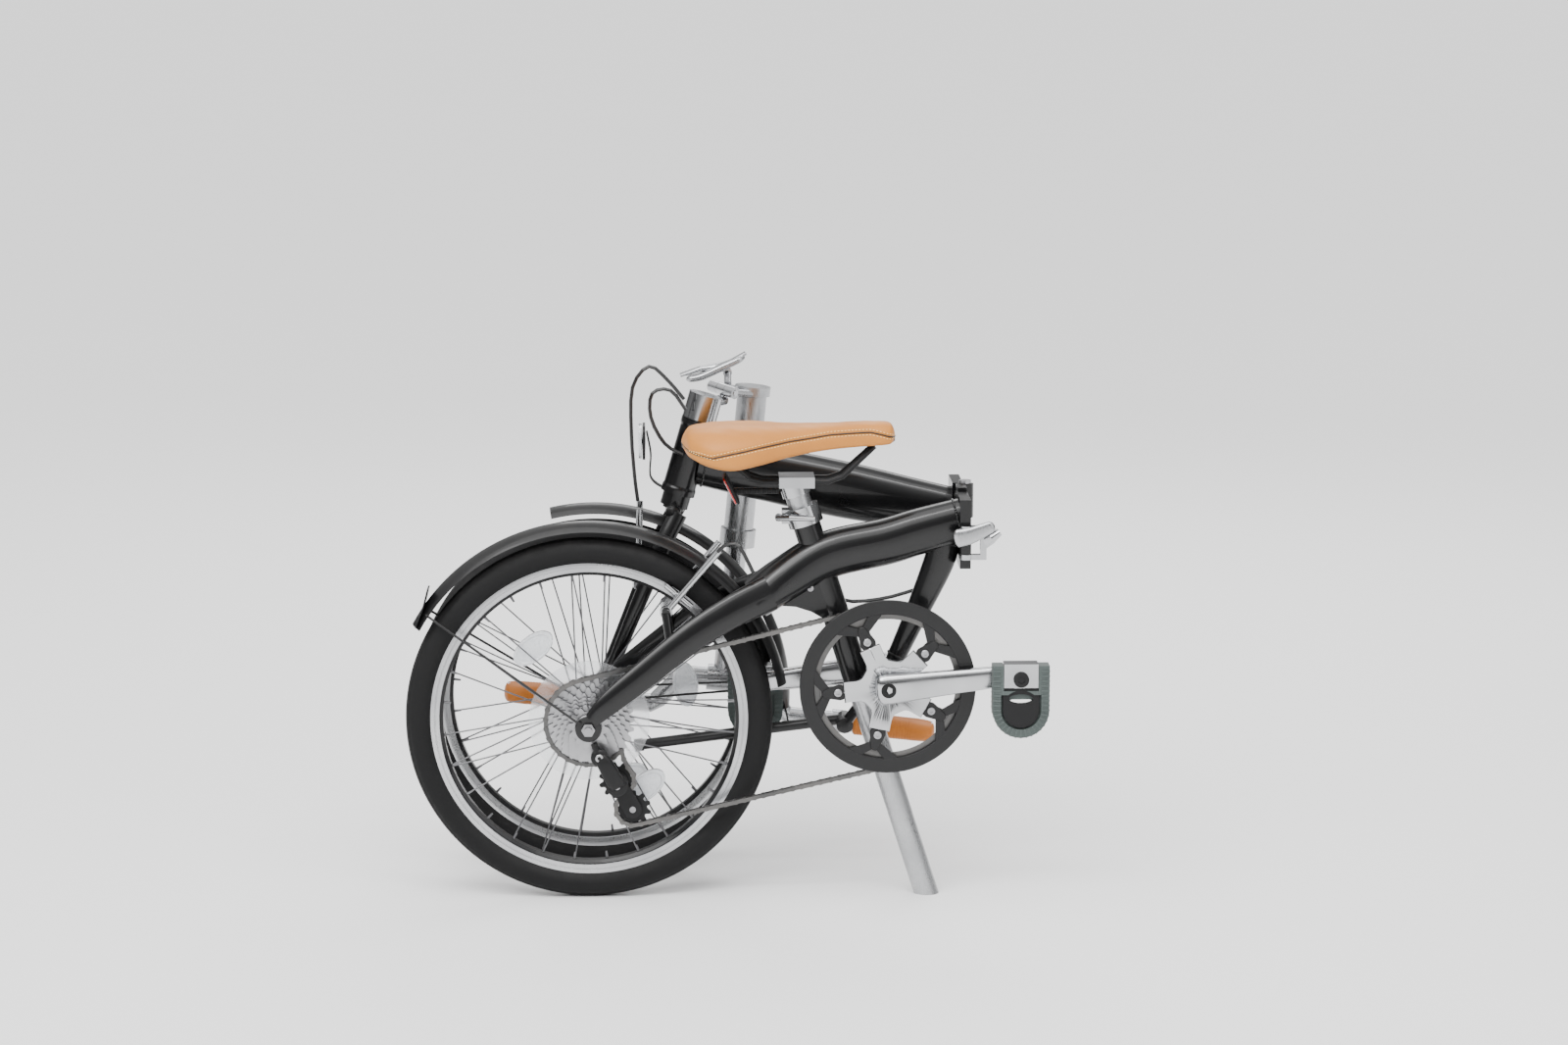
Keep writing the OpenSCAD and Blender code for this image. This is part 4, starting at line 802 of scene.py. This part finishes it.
def toothed(r, teeth, first, depth=0.0036, tip=0.0026):
    # r(a): low between the teeth, high on them, with the first gap at the angle first
    def edge(a):
        wave = -np.cos(teeth * (a - first))
        return r - depth + (depth + tip) * np.clip(0.5 + 0.85 * wave, 0, 1)
    return edge


def firstPin(at, r):
    # the angle of the pin that lies truest on a wheel
    d = np.hypot(pins[:, 0] - at[0], pins[:, 2] - at[2])
    k = int(np.argmin(np.abs(d - r)))
    return math.atan2(pins[k, 2] - at[2], pins[k, 0] - at[0])


def barPlate(a, b, w0, w1, y0, y1, bevel=0.0008):
    # a flat bar in the wheel's plane with round ends of radius w0 and w1
    a, b = np.asarray(a, float), np.asarray(b, float)
    turn = math.atan2(b[1] - a[1], b[0] - a[0])
    t = np.linspace(-np.pi / 2, np.pi / 2, 12)
    outline = np.vstack([np.stack([b[0] + w1 * np.cos(t + turn), b[1] + w1 * np.sin(t + turn)], 1),
                         np.stack([a[0] - w0 * np.cos(t + turn), a[1] - w0 * np.sin(t + turn)], 1)])
    return platePart(outline, y0, y1, bevel)


def polar(at, r, q):
    # x and z at radius r and angle q about at
    return (at[0] + r * math.cos(q), at[2] + r * math.sin(q))


armTurns = [crankTilt + math.radians(36 + 72 * k) for k in range(5)]
ringParts = [ringPart(bb, 0.0885, toothed(ringR, drive["ringTeeth"], topTurn),
                      sideY - 0.0471, sideY - 0.0449, 728, 0.0003)]
guardParts = [ringPart(bb, drive["guardInner"], drive["guardOuter"], sideY - 0.0527, sideY - 0.0500, 200, 0.0009)]
for q in armTurns:
    ringParts.append(barPlate(polar(bb, 0.062, q), polar(bb, 0.0905, q), 0.0075, 0.009,
                              sideY - 0.0468, sideY - 0.0452))
    guardParts.append(barPlate(polar(bb, 0.0630, q), polar(bb, 0.080, q), 0.0105, 0.0062,
                               sideY - 0.0540, sideY - 0.0503))
    for s in (-1, 1):
        guardParts.append(barPlate(polar(bb, 0.077, q), polar(bb, 0.0985, q + s * 0.27), 0.0048, 0.0075,
                                   sideY - 0.0522, sideY - 0.0504))
makeMesh("toothedRing", joined(ringParts), "crankset", "darkSteel", ["chainring"], 40)
makeMesh("chainGuardRing", joined(guardParts), "crankset", "satinPaint", ["chain_guard"], 40)


def spiderEdge(a):
    # r(a): five arms of half width 12 mm and reach 57.5 mm on a hub of 36 mm, joined by a smooth maximum
    d = np.min(np.abs((a[:, None] - np.array(armTurns)[None] + np.pi) % (2 * np.pi) - np.pi), 1)
    side = (0.0118 + 0.004 * np.clip(1 - d / 0.5, 0, 1)) / np.maximum(np.sin(d), 1e-6)
    arm = np.minimum(side, 0.0575 / np.cos(d))
    soft = 170.0
    return np.log(np.exp(soft * np.minimum(arm, 0.08)) + np.exp(soft * 0.036)) / soft


# a crank arm: how far it runs behind the axle and past the pedal's eye, its bow, and its half width and half
# thickness at places from 0 to 1 along it
crankArm = {"behind": 0.017, "run": 0.0325, "bow": 0.0012, "rows": 70, "corner": 2.9,
            "wide": ([0, 0.09, 0.25, 0.5, 0.8, 1], [0.0188, 0.0196, 0.0180, 0.0160, 0.0138, 0.0148]),
            "thick": ([0, 0.12, 0.4, 0.85, 1], [0.0092, 0.0094, 0.0078, 0.0080, 0.0085])}


def crankParts(at, y0, y1, out):
    # a forged arm: its half width and thickness swell at the axle and ease into the pedal's eye
    mid, n = (y0 + y1) / 2, crankArm["rows"]
    t = np.linspace(0, 1, n)
    way = (at - bb) / np.linalg.norm(at - bb)
    path = bb[None] - way * crankArm["behind"] + t[:, None] * (np.linalg.norm(at - bb) + crankArm["run"]) * way
    path[:, 1] = mid + out * crankArm["bow"] * np.sin(np.pi * t)
    w, h = roundedEnds(np.interp(t, *crankArm["wide"]), np.interp(t, *crankArm["thick"]), n, 0.05)
    return tubeGrid(sweepGrid(path, w, h, (-way[2], 0, way[0]), 48, crankArm["corner"]))


rightEye, leftEye = bb + drive["crank"] * crankWay, bb - drive["crank"] * crankWay
spider = ringPart(bb, 0.0101, spiderEdge, sideY - 0.0578, sideY - 0.0529, 720, 0.0016)
makeMesh("rightCrankArm", joined([crankParts(rightEye, sideY - 0.076, sideY - 0.057, -1), spider]), "crankset",
         "polishedAlloy", ["right_crank"], 45)
makeMesh("leftCrankArm", crankParts(leftEye, sideY + 0.057, sideY + 0.076, 1), "crankset", "polishedAlloy",
         ["left_crank"], 45)


def boltParts(at, r, y, out, depth=0.0022):
    # a round bolt head with a six-sided socket sunk in it
    t = fullTurn(36)
    hexR = 0.46 * r / np.maximum(np.cos((t + np.pi / 6) % (np.pi / 3) - np.pi / 6), 0.5)
    rows = []
    for radius, rise in ((np.full(36, 0.98 * r), 0.0), (np.full(36, r), 0.0005), (np.full(36, r), depth - 0.0005),
                         (np.full(36, 0.88 * r), depth), (hexR, depth), (hexR, 0.0006), (hexR * 0.02, 0.0006)):
        level = np.full(36, y + out * rise)
        rows.append(np.stack([at[0] + radius * np.cos(t), level, at[2] + radius * np.sin(t)], 1))
    return tubeGrid(np.stack(rows if out > 0 else [q[::-1] for q in rows]))


boltAt = [bb + drive["boltCircle"] * np.array([math.cos(q), 0, math.sin(q)]) for q in armTurns]
ringBolts = [boltParts(at, 0.0050, sideY - 0.0538, -1, 0.0024) for at in boltAt]
makeMesh("ringBolts", joined(ringBolts), "crankset", "steel")
caps = [boltParts(bb, 0.0098, sideY + out * 0.0755, out) for out in (-1, 1)]
makeMesh("crankBolts", joined(caps), "crankset", "blackPlastic")


def cassetteParts():
    # eight toothed rings a step apart, each lighter ring on six arms, round one splined sleeve
    parts, thick = [], drive["sprocketHalf"]
    for k, teeth in enumerate(drive["rearTeeth"]):
        r, y = wheelRadius(teeth), sideY + drive["rearY"] - drive["sprocketStep"] * k
        inner = max(0.0172, r * 0.62)
        hole = (lambda a, i=inner: i + 0.0022 * np.clip(np.cos(8 * a), 0, 1)) if k < 4 else inner
        parts.append(ringPart(rearAt, hole, toothed(r, teeth, firstPin(rearAt, rearR)), y - thick,
                              y + thick, teeth * 12, 0.0002))
        if inner > 0.0172:
            for q in range(6):
                turn = q * np.pi / 3 + 0.2 * k
                ends = polar(rearAt, 0.016, turn), polar(rearAt, inner + 0.001, turn)
                parts.append(barPlate(*ends, 0.004, 0.0028, y - 0.0007, y + 0.0007, 0.0002))
    low, high = sideY + drive["rearY"] - 0.0340, sideY + drive["rearY"] + 0.0028
    parts.append(revolved([(0.0092, low), (0.0155, low), (0.0166, low + 0.001), (0.0166, high), (0.0092, high)],
                          (rearAt[0], 0, rearAt[2]), 72))
    return joined(parts)


makeMesh("sprocketStack", cassetteParts(), "cassette_body", "steel", ["cassette"], 35)
for word, at in (("guide", guideAt), ("tension", tensionAt)):
    wheel = ringPart(at, 0.0032, toothed(pulleyR, drive["pulleyTeeth"], firstPin(at, pulleyR), 0.0040, 0.0016),
                     sideY - 0.0281, sideY - 0.0259, 132, 0.0003)
    makeMesh(word + "Pulley", wheel, word + "_wheel", "blackPlastic", [word + "_pulley"], 40)


# the derailleur: its body's line in mm with z from the axle, half widths and half heights, the hanger bolt's
# place, and the two cage plates' faces and end radii
mech = {"line": [(13, -66, -36), (22, -68, -48), (31, -62, -66), (38, -54, -80)],
        "wide": [0.0065, 0.0075, 0.0085], "high": [0.0090, 0.0110, 0.0115], "bolt": (14, 0, -38),
        "cage": ((-0.0340, -0.0324), (-0.0226, -0.0210)), "cageEnds": (0.0105, 0.0125),
        "hanger": [(7, -67.5, -19.5), (14, -67.5, -38)], "rows": 30}


def derailleurParts():
    # hanger bolt, linkage body, lower knuckle and a two-plate cage round the pulleys
    y = sideY
    top, knee = fromAxle(mech["bolt"]), guideAt
    black = [roundPart(top, 0.0112, y - 0.0715, y - 0.0600, 48, 0.0016, 0.0008)]
    path = splineThrough(fromAxle(mech["line"]), mech["rows"])
    w, h = (np.interp(np.linspace(0, 1, mech["rows"]), [0, 0.5, 1], mech[key]) for key in ("wide", "high"))
    w, h = roundedEnds(w, h, mech["rows"], 0.1)
    black.append(tubeGrid(sweepGrid(path, w, h, (0, 1, 0), 32, 3.2)))
    black.append(roundPart(knee, 0.0145, y - 0.0605, y - 0.0350, 48, 0.0022, 0.001))
    for y0, y1 in mech["cage"]:
        black.append(barPlate(guideAt[[0, 2]], tensionAt[[0, 2]], *mech["cageEnds"], y + y0, y + y1))
    black.append(tubePart(fromAxle(mech["hanger"]), 0.0045, 8, 24))
    bolts = [boltParts(at, 0.0042, y - 0.0340, -1, 0.0018) for at in (guideAt, tensionAt)]
    bolts.append(boltParts(top, 0.0052, y - 0.0715, -1, 0.0022))
    bolts.append(boltParts(knee, 0.0046, y - 0.0608, -1, 0.0020))
    for at in (guideAt, tensionAt):
        bolts.append(roundPart(at, 0.0030, y - 0.0330, y - 0.0215, 24, 0.0003))
    return joined(black), joined(bolts)


black, bolts = derailleurParts()
makeMesh("derailleurBody", black, "rear_frame", "blackPlastic", ["derailleur"])
makeMesh("derailleurBolts", bolts, "rear_frame", "steel")
print("drive made")


# a pedal: half its width, its middle below the axle, its near face from the middle line on each side, the ribs'
# pitch, half thickness and reach inwards and outwards, and half the slot
pedal = {"half": 0.0312, "below": 0.040, "faces": {1: 0.078, -1: -0.102}, "pitch": 0.0064, "rib": 0.0013,
         "inward": 0.0042, "outward": 0.0045, "slot": (0.0155, 0.0062), "plateZ": 0.0256, "wall": 0.0238}


def treadParts(at, side):
    # short ribs square to the pedal's rim, along its two straight sides and round its end
    r, mid, y0 = pedal["half"], at[2] - pedal["below"], sideY + pedal["faces"][side]
    turns = np.linspace(np.pi, 2 * np.pi, 17)
    ribs = [((at[0] + r * math.cos(q), mid + r * math.sin(q)), (math.cos(q), math.sin(q))) for q in turns]
    for k in range(1, 9):
        z = mid + pedal["pitch"] * k
        ribs += [((at[0] - r, z), (-1, 0)), ((at[0] + r, z), (1, 0))]
    parts = []
    for (x, z), (cx, cz) in ribs:
        a, b = ((x + d * cx, z + d * cz) for d in (-pedal["inward"], pedal["outward"]))
        for lo in (y0 - 0.0011, y0 + 0.0239):
            parts.append(barPlate(a, b, pedal["rib"], pedal["rib"], lo, lo + 0.0012, 0.0003))
    return joined(parts)


def pedalSlot(a):
    # an ellipse's radius: p q / sqrt((q cos a)^2 + (p sin a)^2)
    p, q = pedal["slot"]
    return p * q / np.hypot(q * np.cos(a), p * np.sin(a))


def pedalEdge(a):
    # distance from the slot's middle to the plate's straight sides, flat top or round end
    c, s = np.cos(a), np.sin(a)
    wall = pedal["wall"] / np.maximum(np.abs(c), 1e-6)
    flat = np.where(s > 0, 0.0130 / np.maximum(s, 1e-6), np.inf)
    b = 0.0144 * s
    arc = -b + np.sqrt(np.maximum(b ** 2 - 0.0144 ** 2 + pedal["wall"] ** 2, 0))
    return np.minimum(np.minimum(wall, flat), np.where(arc * s < -0.0144, arc, np.inf))


for word, at, side in (("right", rightEye, -1), ("left", leftEye, 1)):
    makeMesh(word + "PedalTread", treadParts(at, side), word + "_platform", "pedalGrey")
    y = sideY + side * 0.103
    cap = boltParts(at, 0.0100, y, side, 0.0016)
    makeMesh(word + "PedalCap", cap, word + "_block", "blackPlastic")
    # a black plate with an oval slot inside the pedal's frame near its outer face: a sheet of painted shade for
    # the pedal's dark inside
    shadeY = sideY + side * 0.0970
    slotAt = (at[0], 0, at[2] - pedal["plateZ"])
    slot = ringPart(slotAt, pedalSlot, pedalEdge, shadeY - 0.003, shadeY + 0.003, 160, 0.0004)
    makeMesh(word + "PedalShadePlate", slot, word + "_platform", "blackPlastic")
print("pedals made")

# saddle sections in mm from its rear tip: half width, top, lower edge, middle of the underside and seam depth
saddle = {"rear": 122.0, "base": 546.2, "at": [0, 12, 35, 65, 100, 140, 185, 230, 262, 274, 277],
          "side": [20, 46, 66, 71, 64, 47, 33, 27, 24, 16, 6],
          "top": [70, 78, 82, 84, 84, 82, 82, 84, 84, 80, 74],
          "edge": [47, 37, 25, 19, 26, 37, 45, 49, 51, 54, 58],
          "under": [56, 47, 40, 38, 43, 48, 53, 57, 59, 61, 63],
          "seamAt": [0, 8, 38, 80, 139, 191, 244, 267, 277], "seamDepth": [24, 27, 36, 29, 17, 11, 11, 16, 14],
          "groove": 1.5, "pitch": 4.6, "stitch": 2.9}


def saddleSections():
    # the stations x, w, top, edge, under on smooth curves, closer together near both ends
    rows = np.stack([np.asarray(saddle[key], float) for key in ("at", "side", "top", "edge", "under")], 1)
    t = 0.5 - 0.5 * np.cos(np.linspace(0, np.pi, 190))
    s = splineThrough(rows, 2001)[np.round(2000 * t).astype(int)]
    widest = s[:, 3] + 0.34 * (s[:, 2] - s[:, 3])
    nose, tail = np.clip((277 - s[:, 0]) / 7, 0, 1), np.clip(s[:, 0] / 11, 0, 1)
    scale = np.sqrt(1 - (1 - nose) ** 2) * np.sqrt(1 - (1 - tail) ** 2) * 0.99 + 0.01
    return s[:, 0], s[:, 1] * scale, s[:, 2], s[:, 3], s[:, 4], widest, scale


def saddlePoint(sec, sine, sign):
    # the outside of the upper half at the sine of its angle:
    # y = w cos^(2/2.3), z = widest + (top - widest) sin^(2/2.5)
    x, w, top, edge, under, widest, scale = sec
    s = np.clip(sine, 0, 1)
    y = sign * w * np.sqrt(1 - s ** 2) ** (2 / 2.3)
    mid = (top + edge) / 2
    z = mid + scale * (widest + (top - widest) * s ** (2 / 2.5) - mid)
    out = unitRows(np.stack([np.zeros_like(y), y / np.maximum(w, 1), (z - edge) / (top - edge)], 1))
    return np.stack([x, y, z], 1), out


def seamSine(sec, lift=0.0):
    # the sine of the section's angle where the seam lies, lift mm above it
    depth = np.interp(sec[0], saddle["seamAt"], saddle["seamDepth"]) - lift
    part = np.clip((sec[2] - depth - sec[5]) / (sec[2] - sec[5]), 0.04, 0.97)
    return part ** 1.25


def saddlePart():
    # the upper half as in saddlePoint, the lower half tucked under, widest - (widest - edge) sin^(2/3), and
    # hollowed, a shallow dish behind, slight waves in the cover, and a groove pressed in along each seam
    sec = saddleSections()
    x, w, top, edge, under, widest, scale = sec
    a = fullTurn(120)
    c, s = np.cos(a)[None, :], np.sin(a)[None, :]
    col = lambda v: v[:, None]  # a row of values as a column
    y = col(w) * np.sign(c) * np.abs(c) ** (2 / 2.3)
    upper = col(widest) + col(top - widest) * np.abs(s) ** (2 / 2.5)
    hollow = col(under - edge) * (1 - np.clip(np.abs(y) / col(w), 0, 1) ** 2.4)
    lower = col(widest) - col(widest - edge) * np.abs(s) ** (2 / 3) + hollow * np.abs(s)
    mid = col((top + edge) / 2)
    z = mid + col(scale) * (np.where(s >= 0, upper, lower) - mid)
    dish = 2.2 * np.exp(-((col(x) - 88) / 46) ** 2 - (y / 20) ** 2) * (s > 0)
    cloth = 0.25 * np.sin(col(x) * 0.19 + y * 0.11) * np.sin(y * 0.23 - col(x) * 0.05)
    z = z - dish + cloth * (s > 0)
    grid = np.stack([np.broadcast_to(col(x), y.shape), y, z], -1)
    for sign in (-1, 1):
        line, out = saddlePoint(sec, seamSine(sec), sign)
        gap = np.linalg.norm(grid - line[:, None], axis=-1)
        grid = grid - (saddle["groove"] * np.exp(-(gap / 2.6) ** 2))[..., None] * out[:, None]
    return tubeGrid(saddlePlace(grid))


def saddlePlace(grid):
    # saddle millimetres to metres in the part's place
    return toPart(np.asarray(grid) + (saddle["rear"], 0, saddle["base"]))


def stitchRow(sec, lift, sign):
    # short threads laid along the seam at an even pitch, lift mm above it
    line, out = saddlePoint(sec, seamSine(sec, lift), sign)
    line = line + 0.25 * out
    run = np.concatenate([[0], np.cumsum(np.linalg.norm(np.diff(line, axis=0), axis=1))])
    parts = []
    for at in np.arange(16, run[-1] - 14, saddle["pitch"]):
        ends = [np.array([np.interp(q, run, line[:, k]) for k in range(3)]) for q in (at, at + saddle["stitch"])]
        parts.append(tubePart([saddlePlace(e) for e in ends], 0.00050, 6, 8, (0, 0, 1), 0.3))
    return joined(parts)


saddleBody = makeMesh("saddleCover", saddlePart(), "seat", "saddleHide", ["saddle"])
sections = saddleSections()
for word, sign in (("Near", -1), ("Far", 1)):
    line, out = saddlePoint(sections, seamSine(sections), sign)
    piping = saddlePlace(line - 0.55 * out)[4:-4]
    makeMesh("saddleSeam" + word, tubePart(piping[::3], 0.00085, 180, 12, (0, 0, 1), 0.02), "seat", "cableSkin")
    rows = [stitchRow(sections, lift, sign) for lift in (3.2, -3.2)]
    makeMesh("saddleStitch" + word, joined(rows), "seat", "thread")
# the pan under the cover: an ellipse on each section, narrower than the cover and clear of both ends
angle, inside = fullTurn(48), slice(8, -8)
panX, panWide, panLow = (sections[k][inside, None] for k in (0, 1, 4))
pan = np.stack(np.broadcast_arrays(panX, 0.62 * panWide * np.cos(angle), panLow - 1.5 + 2.4 * np.sin(angle)), -1)
makeMesh("saddlePan", tubeGrid(saddlePlace(pan)), "seat", "blackPlastic")
print("saddle made")

# the white reflector ahead of the fork: its glass and back, half wide and half high, and its bent bracket
glass = {"at": np.array((-0.1074, 0.067, 0.5844)), "half": np.array((0.0050, 0, 0)), "corner": 4.0, "ease": 0.16,
         "bracket": [(-0.1008, 0.067, 0.5976), (-0.0957, 0.067, 0.5685), (-0.0959, 0.067, 0.5368),
                     (-0.079, 0.067, 0.5221), (-0.062, 0.067, 0.518)], "strap": (0.0075, 0.0012)}
lensEnds = [glass["at"] + step for step in (-glass["half"], (0.0005, 0, 0), (0.0004, 0, 0), glass["half"])]
for word, (a, b), w, h, look in (("frontLens", lensEnds[:2], 0.0240, 0.0225, "clearLens"),
                                 ("frontLensBack", lensEnds[2:], 0.0252, 0.0237, "blackPlastic")):
    ends = roundedEnds([w] * 8, [h] * 8, 8, glass["ease"])
    lens = sweepGrid(np.linspace(a, b, 8), *ends, (0, 1, 0), 64, glass["corner"])
    makeMesh(word, tubeGrid(lens), "steering_fork", look)
strap = sweepGrid(splineThrough(glass["bracket"], 40), *glass["strap"], (0, 1, 0), 24, 5.0)
makeMesh("frontLensBracket", tubeGrid(strap), "steering_fork", "blackPlastic")

# soft mudflaps below the ends of both fenders, wider towards their lower ends
flap = {"wide": (0.019, 0.0235), "thick": 0.0011, "rows": 30,
        "rearFlap": ("rear_frame",
                     [(-0.385, -0.073, 0.4136), (-0.3917, -0.073, 0.389), (-0.4011, -0.073, 0.3656)]),
        "frontFlap": ("steering_fork",
                      [(0.0768, 0.067, 0.2493), (0.0821, 0.067, 0.2276), (0.0874, 0.067, 0.2017)])}
for word in ("rearFlap", "frontFlap"):
    body, line = flap[word]
    wide = np.linspace(*flap["wide"], flap["rows"])
    rows = sweepGrid(splineThrough(line, flap["rows"]), wide, flap["thick"], (0, 1, 0), 32, 5.0)
    makeMesh(word, tubeGrid(rows), body, "rubber")
print("reflector and flaps made")
# the red lens behind the saddle in its black housing, on a ribbed arm
lensBack = {"root": (192.0, 0.0, 522.2), "turn": math.radians(26), "high": 21.0, "wide": 22.0}
lensWay = np.array([math.cos(lensBack["turn"]), 0, math.sin(lensBack["turn"])])
lensUp = np.array([-math.sin(lensBack["turn"]), 0, math.cos(lensBack["turn"])])
lensFace = np.array(lensBack["root"]) + lensBack["high"] * lensUp
for word, lo, hi, trim, look, stands, slot in (
        ("tailLens", 0.0, 3.4, 1.6, "redLens", ["tail_reflector"], "reflector_red"),
        ("tailHousing", 2.4, 7.0, 0.0, "blackPlastic", [], None)):
    path = toPart(lensFace + np.linspace(lo, hi, 10)[:, None] * lensWay)
    wide, high = ([(lensBack[key] - trim) / 1000] * 10 for key in ("wide", "high"))
    w, h = roundedEnds(wide, high, 10, 0.2)
    makeMesh(word, tubeGrid(sweepGrid(path, w, h, (0, 1, 0), 72, 6.0)), "seat", look, stands)
armRow = np.linspace(0, 1, 120)
armPath = toPart(np.stack([190 + 58 * armRow, 0 * armRow, 540.2 + 0 * armRow], 1))
armWide = (5.6 + 0.5 * np.sign(np.sin(armRow * 56))) / 1000
makeMesh("tailArm", tubeGrid(sweepGrid(armPath, armWide, 0.0038, (0, 1, 0), 32, 4.0)), "seat", "blackPlastic")

# the winged grips on the folded bar: their root, length, outer end and drop in mm, and rows of how far along,
# half width and half height; fine grooves ring the sleeve and stop before the wing
grip = {"root": (219.3, 202.1, 650.3), "long": 114.0, "end": 295.0, "down": 449.0, "groove": 0.35, "rows": 170,
        "shape": [[0, 16.4, 15.6], [0.2, 16.6, 15.6], [0.6, 21.5, 14.8], [0.85, 25.4, 13.8], [1, 19, 11.5]]}


def foldedPoint(x, y, z):
    # the bar's own sideways, lengthwise and upward ways as they lie when folded
    rows = np.asarray(grip["root"]) + np.outer(x, (0, -1, 0)) + np.outer(y, (-0.9947, 0, 0.1028))
    return toPart(rows + np.outer(z, (-0.1028, 0, -0.9947)))


gripParts = []
for s in (-1, 1):
    t = np.linspace(0, 1, grip["rows"])
    rows = splineThrough(grip["shape"], grip["rows"])
    groove = grip["groove"] * np.clip(np.sin(t * 190), 0, 1) * (t < 0.72) * (t > 0.06)
    w, h = ((np.interp(t, rows[:, 0], rows[:, k]) - groove) / 1000 for k in (1, 2))
    w, h = roundedEnds(w, h, grip["rows"], 0.05)
    line = foldedPoint(12 * (0.45 + 0.55 * t), s * (grip["end"] - grip["long"] * (1 - t)), grip["down"] + 0 * t)
    gripParts.append(tubeGrid(sweepGrid(line, w, h, (0, -1, 0), 64, 2.4)))
makeMesh("gripSleeves", joined(gripParts), "bar_mast", "gripHide", ["grips"])
print("lens and grips made")
# the thick levers of the frame latch and of the handlepost latch: their line, half widths and half heights
latchGrips = {
    "frameLatchGrip": {"body": "frame_latch", "wide": [0.0052, 0.0050, 0.0046, 0.0040],
                       "high": [0.0122, 0.0112, 0.0090, 0.0072],
                       "line": [(0.2951, -0.123, 0.4837), (0.3141, -0.123, 0.4874), (0.333, -0.123, 0.495),
                                (0.3481, -0.123, 0.5014)]},
    "postLatchGrip": {"body": "post_latch", "wide": [0.0090, 0.0096, 0.0100, 0.0088],
                      "high": [0.0044, 0.0054, 0.0056, 0.0046],
                      "line": [(-0.048, 0.163, 0.6542), (-0.0267, 0.163, 0.6582), (0.0025, 0.163, 0.6714),
                               (0.0318, 0.163, 0.6847)]}}
for word, lever in latchGrips.items():
    w, h = (np.interp(np.linspace(0, 3, 70), range(4), lever[key]) for key in ("wide", "high"))
    w, h = roundedEnds(w, h, 70, 0.12)
    rows = sweepGrid(splineThrough(lever["line"], 70), w, h, (0, 1, 0), 48, 3.0)
    makeMesh(word, tubeGrid(rows), lever["body"], "brushedAlloy")

# the thin web between the beam and the seat tube, with its bolt: its edge in x and z, and its two faces' y
web = {"edge": [(0.0532, 0.3891), (0.0737, 0.3903), (0.0928, 0.3889), (0.1132, 0.3823), (0.1311, 0.3717),
                (0.1413, 0.3821), (0.1311, 0.4133), (0.1208, 0.4264), (0.0966, 0.4135)],
       "from": -0.0890, "to": -0.0850, "bolt": (0.1118, 0, 0.4138), "boltRadius": 0.0042, "boltY": -0.0892}
makeMesh("beamWeb", platePart(web["edge"], web["from"], web["to"], 0.0008), "rear_frame", "blackPaint")
webBolt = boltParts(web["bolt"], web["boltRadius"], web["boltY"], -1, 0.0024)
makeMesh("beamWebBolt", webBolt, "rear_frame", "steel")
print("levers and web made")
